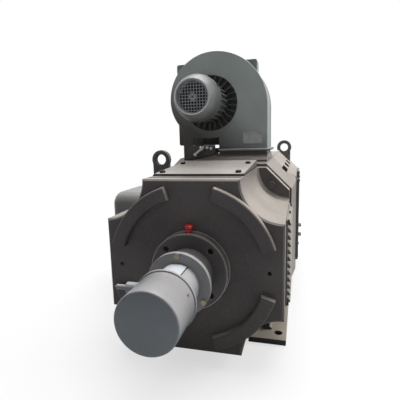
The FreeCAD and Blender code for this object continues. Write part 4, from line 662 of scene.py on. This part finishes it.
# the photo has the tacho's rim further forward and its cap a little wider than the solids
tacho = {"flange": 0.0575, "flangeThick": 0.01, "flangeEdge": 0.0006, "neck": 0.0385, "rim": 0.0515,
         "rimEdge": 0.001, "rimBack": -0.5565, "rimFront": -0.562, "cap": 0.049, "capEdge": 0.004,
         "wall": 0.003, "bore": 0.033, "shaftHole": 0.0071}


def housingProfile(back):
    flange, edge, neck = tacho["flange"], tacho["flangeEdge"], tacho["neck"]
    rim, rimEdge, rimBack, rimFront = (tacho[key] for key in ("rim", "rimEdge", "rimBack", "rimFront"))
    front = back - tacho["flangeThick"]
    middle = (back + front) / 2
    return [(back, tacho["shaftHole"]), (back, flange - edge), (back - edge, flange),
            (front + edge, flange), (front, flange - edge), (front, neck),
            (rimBack, neck), (rimBack, rim - rimEdge), (rimBack - rimEdge, rim),
            (rimFront + rimEdge, rim), (rimFront, rim - rimEdge), (rimFront, tacho["bore"]),
            (middle, tacho["bore"]), (middle, tacho["shaftHole"])]


def capProfile(end):
    edge, radius, inside = tacho["capEdge"], tacho["cap"], tacho["cap"] - tacho["wall"]
    corner = [(end + edge - forward, radius - edge + out) for forward, out in quarterArc(edge)]
    bottom = end + tacho["wall"]
    return [(tacho["rimFront"], inside), (tacho["rimFront"], radius), *corner, (end, 0), (bottom, 0),
            (bottom, inside)]


tachoBack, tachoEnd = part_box("tacho_body")[1].y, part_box("tacho_cap")[0].y
housing = meshPiece("tachoHousing", "tacho_metal", buildTurned, housingProfile(tachoBack), smooth=40)
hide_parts("tacho_body")
capShell = meshPiece("tachoCapShell", "tacho_plastic", buildTurned, capProfile(tachoEnd), smooth=40)
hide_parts("tacho_cap")

capSeat = {"y": -0.578, "first": 27, "count": 3}
setHeads("capScrews", capScrew,
         roundPlaces(tacho["cap"], anglesRound(capSeat["count"], capSeat["first"]), capSeat["y"]))

tachoLabel = {"near": -0.536, "far": -0.4965, "first": 60, "last": 116, "thick": 0.0008, "frameThick": 0.0004,
              "frameWide": 0.0016, "frameTurn": 2.5}


def buildCurvedPatch(form, thick, inset, turn, steps=14):
    # a bare sheet on the tacho's neck, set in from the label's outline
    near, far = tachoLabel["near"] + inset, tachoLabel["far"] - inset
    first, last = tachoLabel["first"] + turn, tachoLabel["last"] - turn
    inner, outer = tacho["neck"], tacho["neck"] + thick
    section = ((inner, near), (outer, near), (outer, far), (inner, far))
    angles = [math.radians(first + (last - first) * step / steps) for step in range(steps + 1)]
    sweepProfile(form, [[onCircle(r, a, y) for r, y in section] for a in angles])


meshPiece("tachoPlateEdge", "black_rubber", buildCurvedPatch, tachoLabel["frameThick"], 0, 0, smooth=40)
meshPiece("tachoPlate", "white_plate", buildCurvedPatch, tachoLabel["thick"], tachoLabel["frameWide"],
          tachoLabel["frameTurn"], smooth=40)

lugFillet = {"corner": (0.176, 0.174), "wall": 0.0805, "size": 0.007, "face": -0.157, "sunk": 0.0003,
             "steps": 24}


def buildLugFillets(form, fillet):
    # hollow fillets where the bell's scalloped corners meet its lugs
    wall, size, sunk = fillet["wall"], fillet["size"], fillet["sunk"]
    section = [(wall - size + out, -size + along) for out, along in quarterArc(size)] + [(wall + sunk, sunk)]
    angles = [math.radians(180 + 90 * step / fillet["steps"]) for step in range(fillet["steps"] + 1)]
    for sx in (-1, 1):
        for sz in (-1, 1):
            sweepProfile(form, [[(sx * (fillet["corner"][0] + r * math.cos(a)), fillet["face"] + y,
                                  axisZ + sz * (fillet["corner"][1] + r * math.sin(a))) for r, y in section]
                                for a in angles])


# the fillets are pale as a painted highlight along the lug edges
meshPiece("lugFillets", "pale_paint", buildLugFillets, lugFillet, smooth=50)

beadRings = {
    # the two cover beads are pale as painted highlight rings on the bearing cover
    "coverEdgeBead": {"radius": 0.0738, "y": -0.4335, "wide": 0.0016, "rise": 0.0012, "finish": "pale_paint"},
    "coverFootBead": {"radius": 0.0748, "y": -0.4142, "wide": 0.0024, "rise": 0.0016, "finish": "pale_paint"},
    # the cowl's rim is a pale metal ring as a painted highlight on its front edge
    "cowlRim": {"radius": 0.0384, "y": cowlLow.y + cowlSeat["rimInset"], "wide": 0.0026, "rise": 0.0016,
                "finish": "rim_highlight_metal", "centre": cowlCentre},
}


def beadProfile(ring, sunk=0.0005, crown=0.6):
    # a crowned band that reaches a little into what it lies on
    half, rise, radius, y = ring["wide"] / 2, ring["rise"], ring["radius"], ring["y"]
    section = [(-half, -sunk), (-half, rise * crown), (-half * crown, rise), (half * crown, rise),
               (half, rise * crown), (half, -sunk)]
    return [(y + along, radius + out) for along, out in section]


for name, ring in beadRings.items():
    meshPiece(name, ring["finish"], buildTurned, beadProfile(ring), ring.get("centre", (0, axisZ)), smooth=40)

# a thin dark sheet on the bell's top in front of the top cover: painted shade for the shaded groove there
shadeBand = {"low": (-0.0935, -0.385, 0.374), "high": (0.0935, -0.3575, 0.3746), "edge": 0.0002}
meshPiece("coverShadeBand", "dark_paint", addSlab, shadeBand["low"], shadeBand["high"], shadeBand["edge"])

gasket = {"side": 0.0952, "front": -0.3567, "back": -0.1243, "low": 0.374, "high": 0.3765, "wide": 0.0017}


def buildCoverGasket(form, g):
    inner, front, back = g["side"] - g["wide"], g["front"] + g["wide"], g["back"] - g["wide"]
    addSlab(form, (-g["side"], g["front"], g["low"]), (g["side"], front, g["high"]))
    addSlab(form, (-g["side"], back, g["low"]), (g["side"], g["back"], g["high"]))
    for side in (-1, 1):
        left, right = sorted((side * inner, side * g["side"]))
        addSlab(form, (left, g["front"], g["low"]), (right, g["back"], g["high"]))


meshPiece("topCoverGasket", "black_rubber", buildCoverGasket, gasket)

sideSeal = {"wide": 0.004, "lift": 0.0002, "below": 0.001, "top": 0.332, "gap": (0.03, 0.06)}


def buildSideSeal(form, seal):
    # round the yoke's side cover, with a gap in its top run
    low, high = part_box("yoke_cover")
    wide, top = seal["wide"], seal["top"]
    gapStart, gapEnd = seal["gap"]
    left, right = low.x + seal["lift"], high.x - seal["below"]
    addSlab(form, (left, low.y - wide, low.z - wide), (right, low.y, top + wide))
    addSlab(form, (left, high.y, low.z - wide), (right, high.y + wide, top + wide))
    addSlab(form, (left, low.y, low.z - wide), (right, high.y, low.z))
    addSlab(form, (left, low.y, top), (right, low.y + gapStart, top + wide))
    addSlab(form, (left, low.y + gapEnd, top), (right, high.y, top + wide))


meshPiece("yokeCoverSeal", "dark_paint", buildSideSeal, sideSeal)

scroll = {"x": -0.034, "z": 0.541, "step": 0.0095, "left": 0.1115, "bead": 0.0017, "foot": 0.419,
          "edges": (-0.0815, 0.0355), "lastAngle": 226, "angleStep": 3}


def scrollPath(y):
    # the blower's outline from its right foot over the top to its left leg
    s, left, turn = scroll["step"], scroll["left"], scroll["angleStep"]
    path = [(left + 4 * s, scroll["foot"] - scroll["z"]), (left + 4 * s, -s)]
    arcs = [(s, -s, left + 3 * s, 0, 90), (s, s, left + s, 90, 180),
            (-s, s, left - s, 180, scroll["lastAngle"])]
    for cx, cz, radius, start, end in arcs:
        path += [(cx + radius * math.cos(math.radians(a)), cz + radius * math.sin(math.radians(a)))
                 for a in range(start + turn, end + 1, turn)]
    return [(scroll["x"] + u, y, scroll["z"] + v) for u, v in path]


def buildScrollBeads(form):
    for y in scroll["edges"]:
        sweepProfile(form, tubeRings(scrollPath(y), scroll["bead"], (0, 1, 0)))


meshPiece("scrollBeads", "blower_paint", buildScrollBeads, smooth=50)

lipBead = {"from": -0.0115, "to": 0.1235, "y": -0.0918, "z": 0.4168, "radius": 0.0026, "sides": 12}


def buildLipBead(form, bead):
    # rounded front edge of the base's flange, in a paler finish: part its own pale edge, part painted
    # highlight
    path = [(x, bead["y"], bead["z"]) for x in (bead["from"], bead["to"])]
    sweepProfile(form, tubeRings(path, bead["radius"], (0, 0, 1), bead["sides"]))


meshPiece("baseLipBead", "tacho_metal", buildLipBead, lipBead, smooth=50)

vents = {"middle": (0.162, 0.363), "wide": 0.0168, "starts": (-0.074, 0.048, 0.17), "length": 0.066,
         "deep": 0.0185, "thick": 0.0006, "clear": 0.0002}


def buildVentShades(form, vents):
    # a dark sheet just above the floor of each slot in the yoke's upper right edge, painted shade for the
    # deep slot
    slope = math.sqrt(0.5)
    section = []
    for along, under in ((-1, 0), (1, 0), (1, 1), (-1, 1)):
        across = along * vents["wide"] / 2 * slope
        sink = (vents["deep"] + under * vents["thick"]) * slope
        section.append((vents["middle"][0] + across - sink, vents["middle"][1] - across - sink))
    for start in vents["starts"]:
        ends = (start + vents["clear"], start + vents["length"] - vents["clear"])
        sweepProfile(form, [[(x, y, z) for x, z in section] for y in ends])


meshPiece("ventShades", "black_rubber", buildVentShades, vents)

# each run is (x, z, start, end) and is mirrored to the other side
weld = {"radius": 0.0035, "sides": 6, "ripple": 0.0006, "pitch": 0.004,
        "runs": ((0.1405, 0.0135, -0.272, 0.325), (0.1395, 0.0345, -0.122, 0.325))}


def buildFootWelds(form, weld):
    for side in (-1, 1):
        for x, z, start, end in weld["runs"]:
            count = int((end - start) / weld["pitch"])
            path = [Vector((side * x, start + (end - start) * step / count, z)) for step in range(count + 1)]
            rings = tubeRings(path, weld["radius"], (0, 0, 1), weld["sides"])
            for index, ring in enumerate(rings):
                swell = 1 + weld["ripple"] / weld["radius"] * math.cos(index * math.pi)
                rings[index] = [path[index] + (point - path[index]) * swell for point in ring]
            sweepProfile(form, rings)


meshPiece("footWelds", "foot_paint", buildFootWelds, weld, smooth=60)

stud = {"foot": (-0.0785, -0.0985, 0.403), "tip": (-0.0505, -0.0985, 0.426), "radius": 0.0042, "sides": 14,
        "nut": 0.0078, "nutSides": 6, "nutHalf": 0.0028, "nutsAt": (0.12, 0.78)}


def buildStud(form, stud):
    foot, tip = Vector(stud["foot"]), Vector(stud["tip"])
    sweepProfile(form, tubeRings([foot, tip], stud["radius"], (0, 1, 0), stud["sides"]))
    thick = (tip - foot).normalized() * stud["nutHalf"]
    for share in stud["nutsAt"]:
        middle = foot.lerp(tip, share)
        ends = [middle - thick, middle + thick]
        sweepProfile(form, tubeRings(ends, stud["nut"], (0, 1, 0), stud["nutSides"]))


meshPiece("bracketStud", "bright_zinc", buildStud, stud, smooth=35)

# a thin dark sheet under the left of the blower base's flange: painted shade for the dark band there
shadeSheet = {"low": (-0.1, -0.0825, 0.388), "high": (-0.0145, -0.0805, 0.411)}
meshPiece("ductShadeSheet", "dark_paint", addSlab, shadeSheet["low"], shadeSheet["high"])

bracketSeat = {"y": -0.089, "places": ((-0.033, 0.4215), (-0.044, 0.4235))}
setHeads("bracketBolts", dict(hexScrew, radius=5 * mm, height=4 * mm, finish="bright_zinc"),
         [((x, bracketSeat["y"], z), (0, -1, 0)) for x, z in bracketSeat["places"]])
print("plates, beads and seals made")
